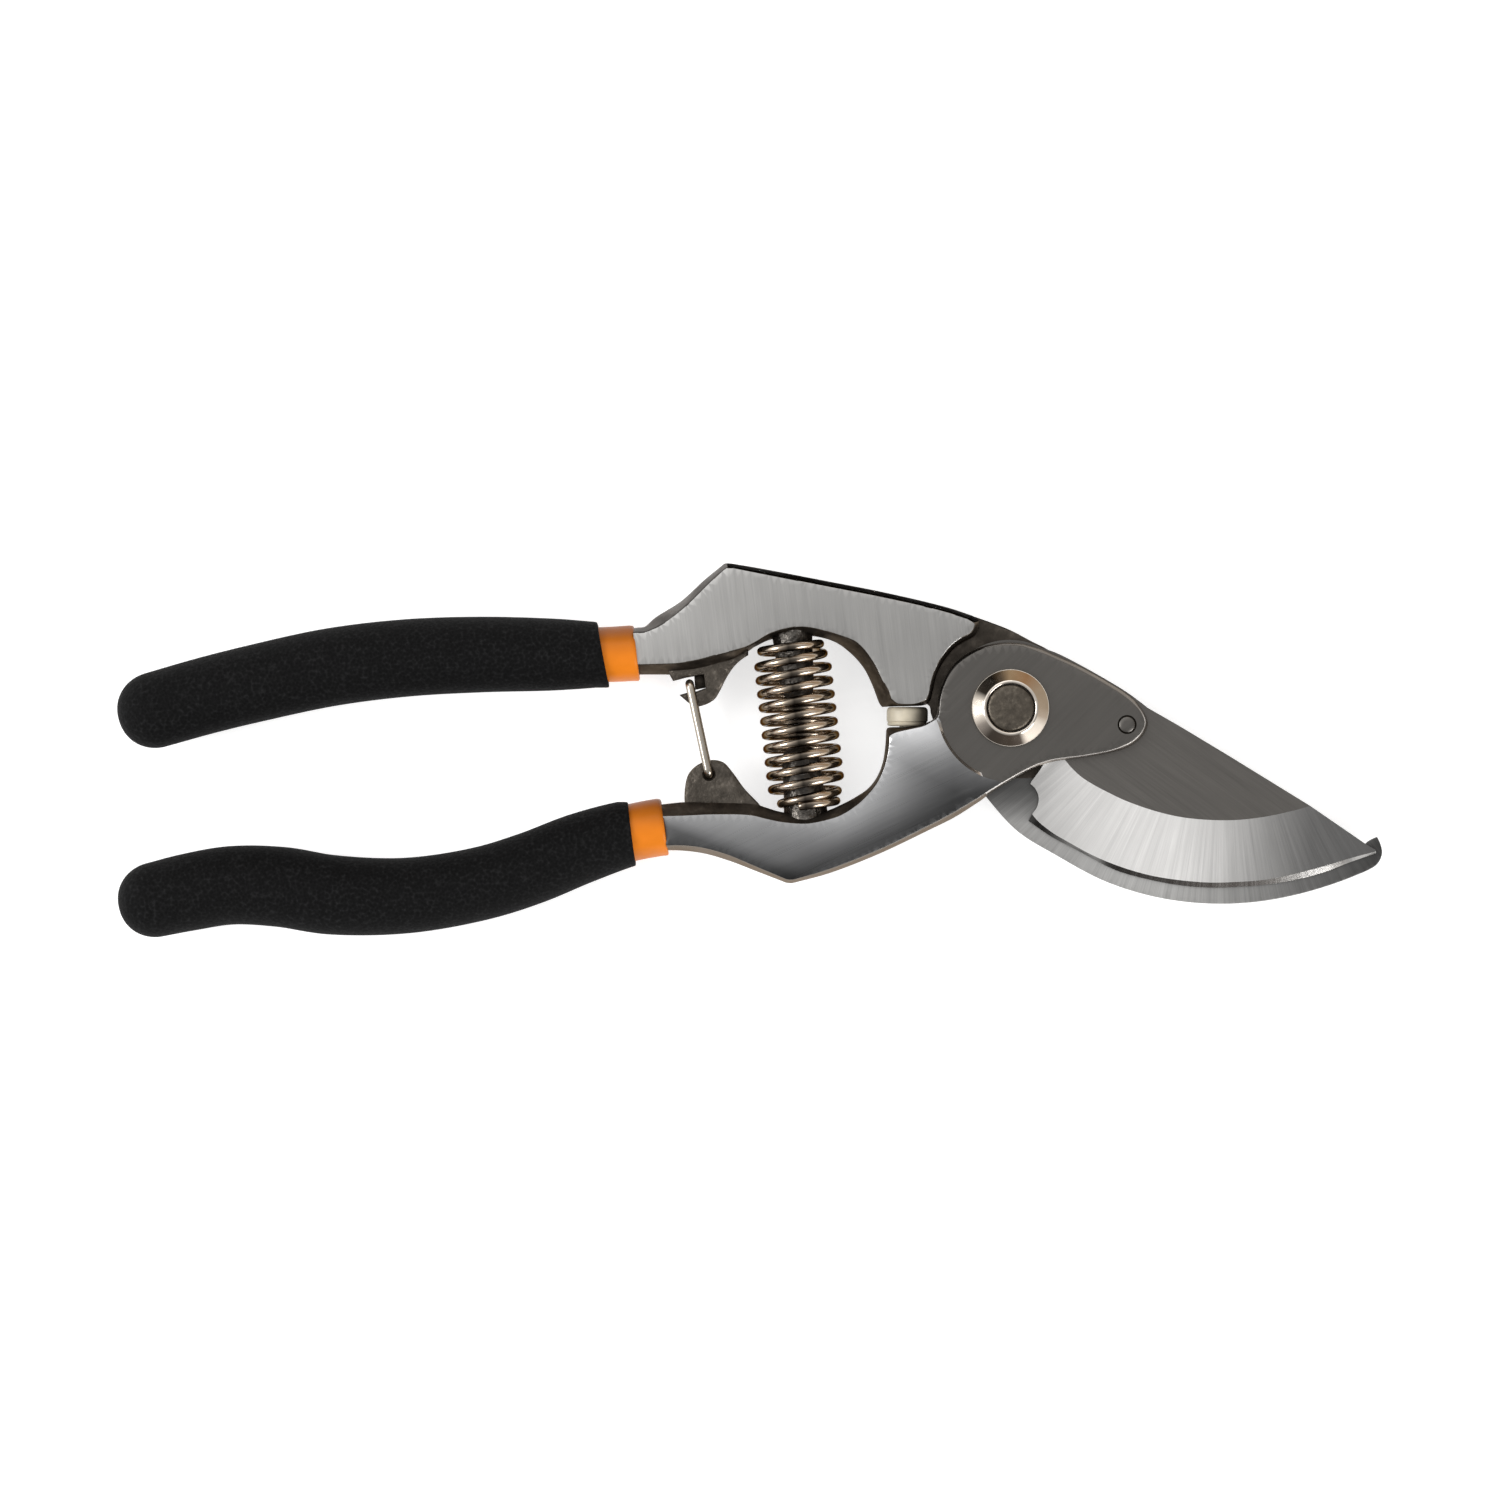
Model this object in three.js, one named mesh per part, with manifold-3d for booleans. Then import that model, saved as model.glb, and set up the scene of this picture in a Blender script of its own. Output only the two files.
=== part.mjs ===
// A forged bypass pruner (secateurs), closed and latched, lying on its back.
//
// Millimetres, +Z up. The origin is on the pivot axis, at the flat underside of the pivot rivet,
// which is one of the three places the tool rests on. +X runs toward the tip of the blade and +Y
// toward the upper handle. The upper handle carries the hook and the lower handle carries the
// blade, so the two cross at the pivot: hook plate at the back, blade in the middle, carrier in front.

import * as THREE from 'three';
import { mergeVertices } from 'three/addons/utils/BufferGeometryUtils.js';
import Module from 'manifold-3d';

const wasm = await Module();
wasm.setup();

// ---------------------------------------------------------------- driving dimensions

const GAP = 0.3; // clearance between pieces that touch on the real tool

const HANDLE_BACK = 2.3;
const HANDLE_FRONT = 12.1;
const MIDDLE = (HANDLE_BACK + HANDLE_FRONT) / 2;
const HANDLE_CHAMFER = 0.8;
const HOOK_PLATE_FRONT = 6.2;
const BLADE_BACK = HOOK_PLATE_FRONT + GAP;
const BLADE_FRONT = 9.0;
const CARRIER_BACK = BLADE_FRONT + GAP;

const HOOK_DISC_RADIUS = 12.6;
const BLADE_DISC_RADIUS = 11.9;
const CARRIER_CLEARANCE_RADIUS = 14.6;

const SHANK_RADIUS = 3.95;
const REAR_HEAD_RADIUS = 6.6;
const REAR_HEAD_TOP = HANDLE_BACK - GAP;
const SHANK_TOP = 14.6;
const BUSHING_INNER_RADIUS = SHANK_RADIUS + GAP;
const BUSHING_OUTER_RADIUS = 5.4;
const PIVOT_BORE_RADIUS = BUSHING_OUTER_RADIUS + GAP;
const COLLAR_RADIUS = 6.8;
const COLLAR_BACK = HANDLE_FRONT + GAP;
const COLLAR_FRONT = 14.9;
const COLLAR_OUTER_CHAMFER = 1.4;
const COLLAR_INNER_CHAMFER = 0.4;

const RIVET_PLACE = [20.4, -2.9];
const RIVET_RADIUS = 1.5;
const RIVET_FRONT = HANDLE_FRONT + 0.1;

const LUG_THICKNESS = 4;
const LUG_BACK = MIDDLE - LUG_THICKNESS / 2;
const LUG_FRONT = MIDDLE + LUG_THICKNESS / 2;
const LUG_CHAMFER = 0.4;
const HOOK_PLATE_CHAMFER = 0.5;
const NOTCH_LEDGE_THICKNESS = 1.4;

const LATCH_WIRE_RADIUS = 0.75;
const LATCH_HINGE = [-52.7, -11.6];
const LATCH_CROSSBAR = [-56.1, 4.3];
const LATCH_BEND_RADIUS = 1.6;
const LATCH_LEG_SPREAD = LUG_THICKNESS / 2 + GAP + LATCH_WIRE_RADIUS;

const SPRING_TOP = [-38.4, 11.15];
const SPRING_BOTTOM = [-35.35, -16.35];
const SPRING_WIRE_RADIUS = 0.775;
const STEPS_PER_TURN = 12;
// Along the coil: turns of wire, share of the way down the axis, radius of the coil. The end turns
// are smaller and lie close together.
const COIL_STAGES = [
  [-0.06, 0.0145, 5.16], [0, 0.015, 5.16], [0.5, 0.019, 5.2], [1, 0.0797, 5.62], [1.5, 0.1218, 6.08],
  [10.5, 0.904, 6.08], [11, 0.955, 5.4], [11.5, 1, 4.6], [12, 1.015, 5], [12.1, 1.017, 5],
];
const PEG_BASE_RADIUS = 3.4;
const PEG_TIP_RADIUS = 2.6;
const PEG_ROOT = -4; // how far behind the spring's end the peg starts, inside the handle
const PEG_LENGTH = 14;

const BUMPER_PLACE = [-17.9, -3.2];
const BUMPER_RADIUS = 3.55;
const BUMPER_HEIGHT = 3.1;
const BUMPER_STEM_RADIUS = 1.4;
const BUMPER_STEM_LENGTH = 4;

const TANG_HALF_WIDTH = 3.7;
const TANG_TIP_HALF_WIDTH = 2.9;
const TANG_TIP_SHORTFALL = 8; // how far inside the palm end the tang stops
const PALM_END_SLOPE = 0.24; // rise of both grips' centre lines at the palm end
const SLEEVE_WALL = 0.8;
const SLEEVE_HALF_WIDTH = TANG_HALF_WIDTH + GAP + SLEEVE_WALL;

const ROWS_PER_STATION = 1.5;
const FAR = 60; // reach of a cutting block, larger than any piece it trims
const THROUGH = 20; // length of a drill that passes right through the tool

// ---------------------------------------------------------------- materials

function finish(color, roughness, metalness) {
  return new THREE.MeshStandardMaterial({ color, roughness, metalness });
}

const brushedSteel = () => finish(0x9c9a97, 0.42, 1);
const satinSteel = () => finish(0x6f6c68, 0.38, 1);
const polishedNickel = () => finish(0xcfc6b8, 0.18, 1);
const peenedSteel = () => finish(0x6a645c, 0.6, 1);
const springSteel = () => finish(0x8a8074, 0.3, 1);
const orangeVinyl = () => finish(0xf28c28, 0.35, 0);
const blackVinyl = () => finish(0x1b1b1c, 0.85, 0);
const creamNylon = () => finish(0xdacfb6, 0.45, 0);

// ---------------------------------------------------------------- outlines

// Points of a smooth curve through the given points.
function smooth(...points) {
  const steps = points.length * 2;
  const curve = new THREE.SplineCurve(points.map(([x, y]) => new THREE.Vector2(x, y)));
  return curve.getPoints(steps).map(({ x, y }) => [x, y]);
}

// Points on a circle round the pivot, between two angles in degrees.
function pivotArc(radius, from, to, step = 10) {
  const count = Math.ceil(Math.abs(to - from) / step);
  return Array.from({ length: count + 1 }, (_, i) => {
    const angle = THREE.MathUtils.degToRad(from + ((to - from) * i) / count);
    return [radius * Math.cos(angle), radius * Math.sin(angle)];
  });
}

// A plate with the given outline between two heights, its long edges chamfered.
function plate(outline, low, high, chamfer = 0) {
  const apart = ([x, y], i) => {
    const [nextX, nextY] = outline[(i + 1) % outline.length];
    return Math.hypot(nextX - x, nextY - y) > 0.01;
  };
  const corners = outline.filter(apart).map(([x, y]) => new THREE.Vector2(x, y));
  const geometry = new THREE.ExtrudeGeometry(new THREE.Shape(corners), {
    depth: high - low - 2 * chamfer,
    bevelEnabled: chamfer > 0,
    bevelThickness: chamfer,
    bevelSize: chamfer,
    bevelOffset: -chamfer,
    bevelSegments: 1,
  });
  return geometry.translate(0, 0, low + chamfer);
}

// ---------------------------------------------------------------- solids

function solidOf(geometry) {
  const bare = geometry.clone();
  bare.deleteAttribute('normal');
  bare.deleteAttribute('uv');
  const merged = mergeVertices(bare, 1e-4);
  return new wasm.Manifold(new wasm.Mesh({
    numProp: 3,
    vertProperties: new Float32Array(merged.attributes.position.array),
    triVerts: new Uint32Array(merged.index.array),
  }));
}

function union(first, ...others) {
  return others.reduce((sum, geometry) => sum.add(solidOf(geometry)), solidOf(first));
}

function without(body, ...cutters) {
  return cutters.reduce((rest, geometry) => rest.subtract(solidOf(geometry)), body);
}

function named(name, shape, material) {
  let geometry = shape;
  if (!shape.isBufferGeometry) {
    const { vertProperties, triVerts } = shape.getMesh();
    geometry = new THREE.BufferGeometry();
    geometry.setAttribute('position', new THREE.BufferAttribute(vertProperties, 3));
    geometry.setIndex(new THREE.BufferAttribute(triVerts, 1));
    geometry.computeVertexNormals();
  }
  const mesh = new THREE.Mesh(geometry, material);
  mesh.name = name;
  return mesh;
}

// A round bar along Z, for shanks and drills.
function roundBar([x, y], radius, low, high, sides = 32) {
  const geometry = new THREE.CylinderGeometry(radius, radius, high - low, sides);
  return geometry.rotateX(Math.PI / 2).translate(x, y, (low + high) / 2);
}

// A solid through a row of equal closed sections, each a convex ring of Vector3.
function loft(sections) {
  const sides = sections[0].length;
  const positions = sections.flat().flatMap(({ x, y, z }) => [x, y, z]);
  const index = [];
  for (let row = 0; row + 1 < sections.length; row += 1) {
    for (let side = 0; side < sides; side += 1) {
      const here = row * sides + side;
      const next = row * sides + ((side + 1) % sides);
      index.push(here, next, here + sides, next, next + sides, here + sides);
    }
  }
  const last = (sections.length - 1) * sides;
  for (let side = 1; side + 1 < sides; side += 1) {
    index.push(0, side + 1, side);
    index.push(last, last + side, last + side + 1);
  }
  const geometry = new THREE.BufferGeometry();
  geometry.setAttribute('position', new THREE.Float32BufferAttribute(positions, 3));
  geometry.setIndex(index);
  return geometry;
}

// An oval bar whose centre line runs through the stations [x, y, half width, half depth], from the
// collar outward. A blunt tip is rounded over the length of its last half width.
function ovalBar(stations, grow = 0, sides = 16) {
  const centres = stations.map(([x, y]) => new THREE.Vector3(x, y, MIDDLE));
  const halves = stations.map(([, , wide, deep]) => new THREE.Vector3(wide, deep, 0));
  const line = new THREE.CatmullRomCurve3(centres);
  const size = new THREE.CatmullRomCurve3(halves);
  const rows = Math.ceil(stations.length * ROWS_PER_STATION);
  const tipRows = 4;
  const tipTurn = THREE.MathUtils.degToRad(84); // stops short of a point
  const tip = stations.at(-1)[2] + grow;
  const sections = [];
  for (let row = 0; row <= rows + tipRows; row += 1) {
    const t = Math.min(row / rows, 1);
    const beyond = Math.max(row - rows, 0) / tipRows;
    const angle = beyond * tipTurn;
    const along = line.getTangent(t);
    const across = new THREE.Vector3(-along.y, along.x, 0);
    const centre = line.getPoint(t).addScaledVector(along, tip * Math.sin(angle));
    const { x: wide, y: deep } = size.getPoint(t);
    const ring = Array.from({ length: sides }, (_, side) => {
      const turn = (side / sides) * 2 * Math.PI;
      const point = centre.clone();
      point.addScaledVector(across, (wide + grow) * Math.cos(angle) * Math.cos(turn));
      point.z += (deep + grow) * Math.cos(angle) * Math.sin(turn);
      return point;
    });
    sections.push(ring);
  }
  return loft(sections);
}

// A block that removes everything to the right of a slanted face through a point.
function blockRightOf([x, y], tilt) {
  const block = new THREE.BoxGeometry(FAR, FAR, FAR).translate(FAR / 2, 0, 0);
  return block.rotateZ(THREE.MathUtils.degToRad(tilt)).translate(x, y, MIDDLE);
}

// A peg inside one end of the spring, along the spring's axis.
function springPeg(from, toward) {
  const geometry = new THREE.CylinderGeometry(PEG_TIP_RADIUS, PEG_BASE_RADIUS, PEG_LENGTH, 20);
  const direction = new THREE.Vector3(toward[0] - from[0], toward[1] - from[1], 0).normalize();
  const turn = new THREE.Quaternion().setFromUnitVectors(new THREE.Vector3(0, 1, 0), direction);
  const middle = direction.clone().multiplyScalar(PEG_ROOT + PEG_LENGTH / 2);
  return geometry.applyQuaternion(turn).translate(from[0] + middle.x, from[1] + middle.y, MIDDLE);
}

// ---------------------------------------------------------------- grips and tangs

// Centre line and half sizes of each grip, from the collar to the palm end.
const UPPER_GRIP = [
  [-62, 9.7, 4.9, 4.9], [-70.9, 9.4, 5.6, 5.9], [-79.6, 9.4, 6.3, 6.7], [-92.8, 9.4, 6.65, 7.1],
  [-105.9, 8.8, 6.8, 7.2], [-119, 7.2, 6.8, 7.2], [-132.1, 4.4, 6.75, 7.2], [-149.8, -0.3, 6.7, 6.9],
];
const LOWER_GRIP = [
  [-57, -20, 5.2, 4.9], [-66.5, -21.9, 5.8, 5.9], [-75.2, -24.6, 6.25, 6.7], [-84, -28.1, 6.4, 7.1],
  [-92.8, -30.8, 6.45, 7.2], [-105.9, -32.9, 6.65, 7.2], [-119, -32.7, 7.0, 7.2],
  [-132.1, -31, 6.9, 7.2], [-140.9, -31.6, 6.75, 7.2], [-149.8, -33.5, 6.65, 6.9],
];
const UPPER_BLACK_END = [[-71.2, 9.5], 10.6];
const UPPER_ORANGE_END = [[-65.4, 10.2], 6.5];
const LOWER_BLACK_END = [[-66.2, -21.7], 7.2];
const LOWER_ORANGE_END = [[-60.4, -21.1], 8.2];

// The tang's centre line is the grip's, with a round section that narrows toward the palm end.
function tangStations(grip) {
  const last = grip.length - 1;
  return grip.map(([x, y], i) => {
    const half = THREE.MathUtils.lerp(TANG_HALF_WIDTH, TANG_TIP_HALF_WIDTH, i / last);
    const inward = i === last ? TANG_TIP_SHORTFALL : 0;
    return [x + inward, y + inward * PALM_END_SLOPE, half, half];
  });
}

function makeSleeve(grip, [place, tilt]) {
  const tang = tangStations(grip);
  const outside = solidOf(ovalBar(tang, GAP + SLEEVE_WALL));
  return without(outside, ovalBar(tang, GAP), blockRightOf(place, tilt));
}

function makeGrip(grip, [place, tilt]) {
  const outside = solidOf(ovalBar(grip, 0, 20));
  const cavity = ovalBar(tangStations(grip), SLEEVE_WALL + 2 * GAP);
  return without(outside, cavity, blockRightOf(place, tilt));
}

// ---------------------------------------------------------------- upper handle with the hook

function upperBodyOutline() {
  return [
    [-65.5, 14.2],
    ...smooth([-64, 14.4], [-61.5, 16.2], [-57.7, 18.7], [-53.4, 22.6], [-50.4, 25]),
    ...smooth(
      [-49, 25.4], [-44.6, 24.7], [-31.5, 22.2], [-18.4, 19.6], [-9.6, 17.3], [-0.9, 14.2], [5.3, 10.9],
    ),
    [2, 0.2],
    [-14.4, 0.2],
    ...smooth(
      [-22.6, 0.2], [-24, 4], [-25.5, 7], [-28, 9.8], [-31, 11.7], [-36.5, 12.8], [-42, 12], [-44.8, 10.9],
    ),
    [-48.4, 7.8],
    [-54.5, 6.1],
    [-64.6, 5.9],
  ];
}

// The web with the notch that the latch's crossbar drops into.
function upperLugOutline() {
  return [
    ...smooth([-47, 9], [-48.5, 7.7], [-50, 5.2], [-50.8, 3], [-51.8, 1.4], [-54.9, 0.2]),
    [-54.9, 2.9],
    [-53.2, 3.4],
    [-53.7, 5.9],
    [-56.8, 5.35],
    [-59, 5],
    [-59.9, 6.2],
    [-60, 8],
    [-47, 10.6],
  ];
}

function hookPlateOutline() {
  const outer = smooth(
    [-12.6, -1], [-11.6, -5.2], [-9, -9.3], [-4, -15.6], [0, -20.2], [7.5, -25.4], [16.6, -30.3],
    [25.4, -33.1], [34.1, -34.3], [42.9, -34.1], [51.6, -32.5], [60.4, -29.6], [64.6, -27.5], [65.6, -25.6],
  );
  const inner = smooth(
    [62.4, -23.9], [57, -26.2], [50, -27.3], [42, -27.6], [33, -26.6], [25.5, -23.5], [19.5, -18.5],
    [15.3, -12], [13.2, -5.5],
  );
  return [...outer, [64.7, -22.6], ...inner, ...pivotArc(HOOK_DISC_RADIUS, -6, 178)];
}

// A thin wall left at the back of the notch.
const NOTCH_LEDGE = [[-54.9, 2.5], [-53, 3], [-53.3, 6.5], [-54.9, 6.5]];

// The room that the blade and its carrier turn in, in front of the hook plate.
function carrierRoomOutline() {
  return [
    ...pivotArc(CARRIER_CLEARANCE_RADIUS, 184, 120, 8),
    [-6.3, 14.9],
    [-5.9, FAR],
    [FAR, FAR],
    [FAR, -FAR],
    [-14.5, -FAR],
  ];
}

function makeHookHandle() {
  const body = plate(upperBodyOutline(), HANDLE_BACK, HANDLE_FRONT, HANDLE_CHAMFER);
  const lug = plate(upperLugOutline(), LUG_BACK, LUG_FRONT, LUG_CHAMFER);
  const peg = springPeg(SPRING_TOP, SPRING_BOTTOM);
  const notchLedge = plate(NOTCH_LEDGE, LUG_BACK, LUG_BACK + NOTCH_LEDGE_THICKNESS);
  const tang = ovalBar(tangStations(UPPER_GRIP));
  const room = plate(carrierRoomOutline(), HOOK_PLATE_FRONT, THROUGH);
  const hookPlate = plate(hookPlateOutline(), HANDLE_BACK, HOOK_PLATE_FRONT, HOOK_PLATE_CHAMFER);
  const handle = without(union(body, lug, peg, notchLedge, tang), room);
  return without(handle.add(solidOf(hookPlate)), roundBar([0, 0], PIVOT_BORE_RADIUS, -1, THROUGH));
}

// ---------------------------------------------------------------- lower handle with the carrier

function lowerBodyOutline() {
  const carrier = smooth(
    [-12.5, -1], [-12.2, 2], [-9.5, 7.5], [-5, 10.5], [0, 11.3], [5, 10.3], [12.5, 7], [20, 2.6],
    [23.4, -0.9], [24.1, -2.6], [23.3, -4.6], [20, -7.1], [12.5, -8.6], [7.5, -9.3], [2.5, -11.3],
    [-2.5, -14.2], [-9.6, -19.1], [-22.8, -25.5], [-31.5, -28.9], [-38.2, -30.6],
  );
  return [
    [-60.6, -16.9],
    [-57, -16.6],
    ...smooth([-44.6, -16.6], [-42.5, -17.4], [-36, -18.8], [-29, -16.6], [-25, -14.5]),
    ...smooth([-23.5, -12.3], [-22.2, -9], [-21.6, -3.5]),
    [-14, -3.5],
    [-13.8, -2.4],
    ...carrier,
    ...smooth([-39.2, -30.6], [-44.6, -28.5], [-49, -26.8], [-53.4, -25.5], [-59.4, -25]),
  ];
}

// The web that the latch hinges on.
function lowerLugOutline() {
  return [
    [-56.9, -18],
    ...smooth([-56.9, -14.5], [-56.3, -11.6], [-54.6, -9.9], [-52.3, -9.1], [-50.2, -9.5], [-48.6, -11.2]),
    ...smooth([-46.5, -14.1], [-44.2, -16.4]),
    [-43, -18.5],
  ];
}

// The room that the hook plate and the blade turn in, behind the carrier.
function hookRoomOutline() {
  return [
    [-13.5, FAR],
    ...smooth([-13.5, 4], [-13.7, -2], [-13.5, -8], [-12.8, -13], [-11.8, -17.5], [-11, -22]),
    [-11, -FAR],
    [FAR, -FAR],
    [FAR, FAR],
  ];
}

function makeBladeHandle() {
  const body = plate(lowerBodyOutline(), HANDLE_BACK, HANDLE_FRONT, HANDLE_CHAMFER);
  const lug = plate(lowerLugOutline(), LUG_BACK, LUG_FRONT, LUG_CHAMFER);
  const peg = springPeg(SPRING_BOTTOM, SPRING_TOP);
  const tang = ovalBar(tangStations(LOWER_GRIP));
  const hookRoom = plate(hookRoomOutline(), -1, CARRIER_BACK);
  const pivotBore = roundBar([0, 0], PIVOT_BORE_RADIUS, -1, THROUGH);
  const rivetHole = roundBar(RIVET_PLACE, RIVET_RADIUS + GAP, -1, THROUGH);
  const latchHole = roundBar(LATCH_HINGE, LATCH_WIRE_RADIUS + GAP, -1, THROUGH, 16);
  const stemHoleDepth = BUMPER_STEM_LENGTH + 2 * GAP;
  const stemHole = bumperTurned(BUMPER_STEM_RADIUS + GAP, stemHoleDepth, -BUMPER_STEM_LENGTH / 2);
  const handle = union(body, lug, peg, tang);
  return without(handle, hookRoom, pivotBore, rivetHole, latchHole, stemHole);
}

// ---------------------------------------------------------------- blade

const BEVEL_TOP = [
  [-2, -2], [10, -9.6], [15, -13.6], [20, -16.1], [25, -17.9], [30, -19.1], [37.5, -19.6], [45, -19],
  [52.7, -17.1], [70, -11],
];
const CUTTING_EDGE = [
  [3.4, -19.8], [7.5, -22.6], [12.5, -25.2], [20, -28.9], [27.5, -30.7], [35, -31.5], [42.5, -31.2],
  [50, -30.2], [57.5, -28], [64.4, -25.6],
];
const EDGE_THICKNESS = 0.25;

function bladeOutline() {
  return [
    ...pivotArc(BLADE_DISC_RADIUS, 298, 62),
    [15, 5.9],
    [24.2, -0.1],
    [38.5, -8.4],
    [62.4, -23.9],
    [64.4, -25.2],
    ...smooth(...CUTTING_EDGE.toReversed()),
    [4, -18.6],
    ...smooth([4.9, -17.4], [5.1, -15.7], [4.6, -14.2], [3.6, -13.2]),
  ];
}

// What the grinding wheel takes off the blade's front face, between the bevel's top and the edge.
function groundAway() {
  const top = new THREE.SplineCurve(BEVEL_TOP.map(([x, y]) => new THREE.Vector2(x, y)));
  const edge = new THREE.SplineCurve(CUTTING_EDGE.map(([x, y]) => new THREE.Vector2(x, y)));
  const edgeHeight = BLADE_BACK + EDGE_THICKNESS;
  const rows = 24;
  const sections = Array.from({ length: rows + 1 }, (_, row) => {
    const t = row / rows;
    const start = top.getPoint(t);
    const end = edge.getPoint(t);
    const outside = end.clone().sub(start).setLength(8).add(end);
    return [
      new THREE.Vector3(start.x, start.y, BLADE_FRONT),
      new THREE.Vector3(start.x, start.y, THROUGH),
      new THREE.Vector3(outside.x, outside.y, THROUGH),
      new THREE.Vector3(outside.x, outside.y, edgeHeight),
      new THREE.Vector3(end.x, end.y, edgeHeight),
    ];
  });
  return loft(sections);
}

function makeBlade() {
  const blank = solidOf(plate(bladeOutline(), BLADE_BACK, BLADE_FRONT));
  const pivotBore = roundBar([0, 0], PIVOT_BORE_RADIUS, -1, THROUGH);
  const rivetHole = roundBar(RIVET_PLACE, RIVET_RADIUS + GAP, -1, THROUGH);
  return without(blank, groundAway(), pivotBore, rivetHole);
}

// ---------------------------------------------------------------- pivot

// A turned piece on the pivot axis, from a closed profile of [radius, height] points.
function turned(profile) {
  const points = profile.map(([radius, height]) => new THREE.Vector2(radius, height));
  return new THREE.LatheGeometry(points, 36).rotateX(Math.PI / 2);
}

function makePivotRivet() {
  const headChamfer = 0.9;
  return solidOf(turned([
    [0, 0],
    [REAR_HEAD_RADIUS - headChamfer, 0],
    [REAR_HEAD_RADIUS, headChamfer],
    [REAR_HEAD_RADIUS, REAR_HEAD_TOP],
    [SHANK_RADIUS, REAR_HEAD_TOP],
    [SHANK_RADIUS, SHANK_TOP],
    [0, SHANK_TOP],
  ]));
}

function makeBushing() {
  return solidOf(turned([
    [BUSHING_INNER_RADIUS, HANDLE_BACK],
    [BUSHING_OUTER_RADIUS, HANDLE_BACK],
    [BUSHING_OUTER_RADIUS, HANDLE_FRONT],
    [BUSHING_INNER_RADIUS, HANDLE_FRONT],
    [BUSHING_INNER_RADIUS, HANDLE_BACK],
  ]));
}

function makeCollar() {
  const inner = SHANK_RADIUS + GAP;
  return solidOf(turned([
    [inner, COLLAR_BACK],
    [COLLAR_RADIUS, COLLAR_BACK],
    [COLLAR_RADIUS, COLLAR_FRONT - COLLAR_OUTER_CHAMFER],
    [COLLAR_RADIUS - COLLAR_OUTER_CHAMFER, COLLAR_FRONT],
    [inner + COLLAR_INNER_CHAMFER, COLLAR_FRONT],
    [inner, COLLAR_FRONT - COLLAR_INNER_CHAMFER],
    [inner, COLLAR_BACK],
  ]));
}

// ---------------------------------------------------------------- spring, bumper and latch

const FIRST_TURN = COIL_STAGES[0][0];
const LAST_TURN = COIL_STAGES.at(-1)[0];

// The share of the way down the axis and the coil's radius, this many turns along the wire.
function coilStage(turns) {
  const reached = Math.min(turns, LAST_TURN);
  const next = Math.max(COIL_STAGES.findIndex(([end]) => end >= reached), 1);
  const from = COIL_STAGES[next - 1];
  const to = COIL_STAGES[next];
  const t = (reached - from[0]) / (to[0] - from[0]);
  return [1, 2].map((column) => THREE.MathUtils.lerp(from[column], to[column], t));
}

// A helix along the spring's axis. It starts at the right and passes the front on its way left.
class CoilPath extends THREE.Curve {
  getPoint(t, target = new THREE.Vector3()) {
    const turns = THREE.MathUtils.lerp(FIRST_TURN, LAST_TURN, t);
    const [share, radius] = coilStage(turns);
    const angle = turns * 2 * Math.PI;
    const axis = new THREE.Vector3(SPRING_BOTTOM[0] - SPRING_TOP[0], SPRING_BOTTOM[1] - SPRING_TOP[1], 0);
    const across = new THREE.Vector3(-axis.y, axis.x, 0).normalize();
    target.set(SPRING_TOP[0], SPRING_TOP[1], MIDDLE).addScaledVector(axis, share);
    target.addScaledVector(across, radius * Math.cos(angle));
    target.z += radius * Math.sin(angle);
    return target;
  }
}

// A round wire along a path, closed at both ends.
function wire(path, radius, steps, sides) {
  const section = new THREE.Shape();
  section.absarc(0, 0, radius, 0, 2 * Math.PI);
  const sweep = { steps, curveSegments: sides, extrudePath: path, bevelEnabled: false };
  return new THREE.ExtrudeGeometry(section, sweep);
}

// A round piece whose axis runs up the bumper's centre line, lifted by a height.
function bumperTurned(radius, length, lift) {
  const [x, y] = BUMPER_PLACE;
  return new THREE.CylinderGeometry(radius, radius, length, 24).translate(x, y + lift, MIDDLE);
}

function makeSpring() {
  const steps = Math.round((LAST_TURN - FIRST_TURN) * STEPS_PER_TURN);
  return wire(new CoilPath(), SPRING_WIRE_RADIUS, steps, 3);
}

function makeBumper() {
  const button = bumperTurned(BUMPER_RADIUS, BUMPER_HEIGHT, BUMPER_HEIGHT / 2);
  const stem = bumperTurned(BUMPER_STEM_RADIUS, BUMPER_STEM_LENGTH, -BUMPER_STEM_LENGTH / 2 + GAP);
  return union(button, stem);
}

// A path of straight runs between points, with round bends at the corners.
function bentPath(points, bendRadius) {
  const path = new THREE.CurvePath();
  let here = points[0];
  for (let i = 1; i + 1 < points.length; i += 1) {
    const corner = points[i];
    const before = points[i - 1].clone().sub(corner).setLength(bendRadius).add(corner);
    const after = points[i + 1].clone().sub(corner).setLength(bendRadius).add(corner);
    path.add(new THREE.LineCurve3(here, before));
    path.add(new THREE.QuadraticBezierCurve3(before, corner, after));
    here = after;
  }
  path.add(new THREE.LineCurve3(here, points.at(-1)));
  return path;
}

// The latch is one wire: both ends turn inward into the lug's hole, and a crossbar joins the legs.
function makeLatch() {
  const low = MIDDLE - LATCH_LEG_SPREAD;
  const high = MIDDLE + LATCH_LEG_SPREAD;
  const endGap = 0.2; // half the space between the wire's ends, inside the hole
  const at = ([x, y], z) => new THREE.Vector3(x, y, z);
  const path = bentPath([
    at(LATCH_HINGE, MIDDLE - endGap),
    at(LATCH_HINGE, low),
    at(LATCH_CROSSBAR, low),
    at(LATCH_CROSSBAR, high),
    at(LATCH_HINGE, high),
    at(LATCH_HINGE, MIDDLE + endGap),
  ], LATCH_BEND_RADIUS);
  return wire(path, LATCH_WIRE_RADIUS, 48, 4);
}

// ---------------------------------------------------------------- assembly

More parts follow.
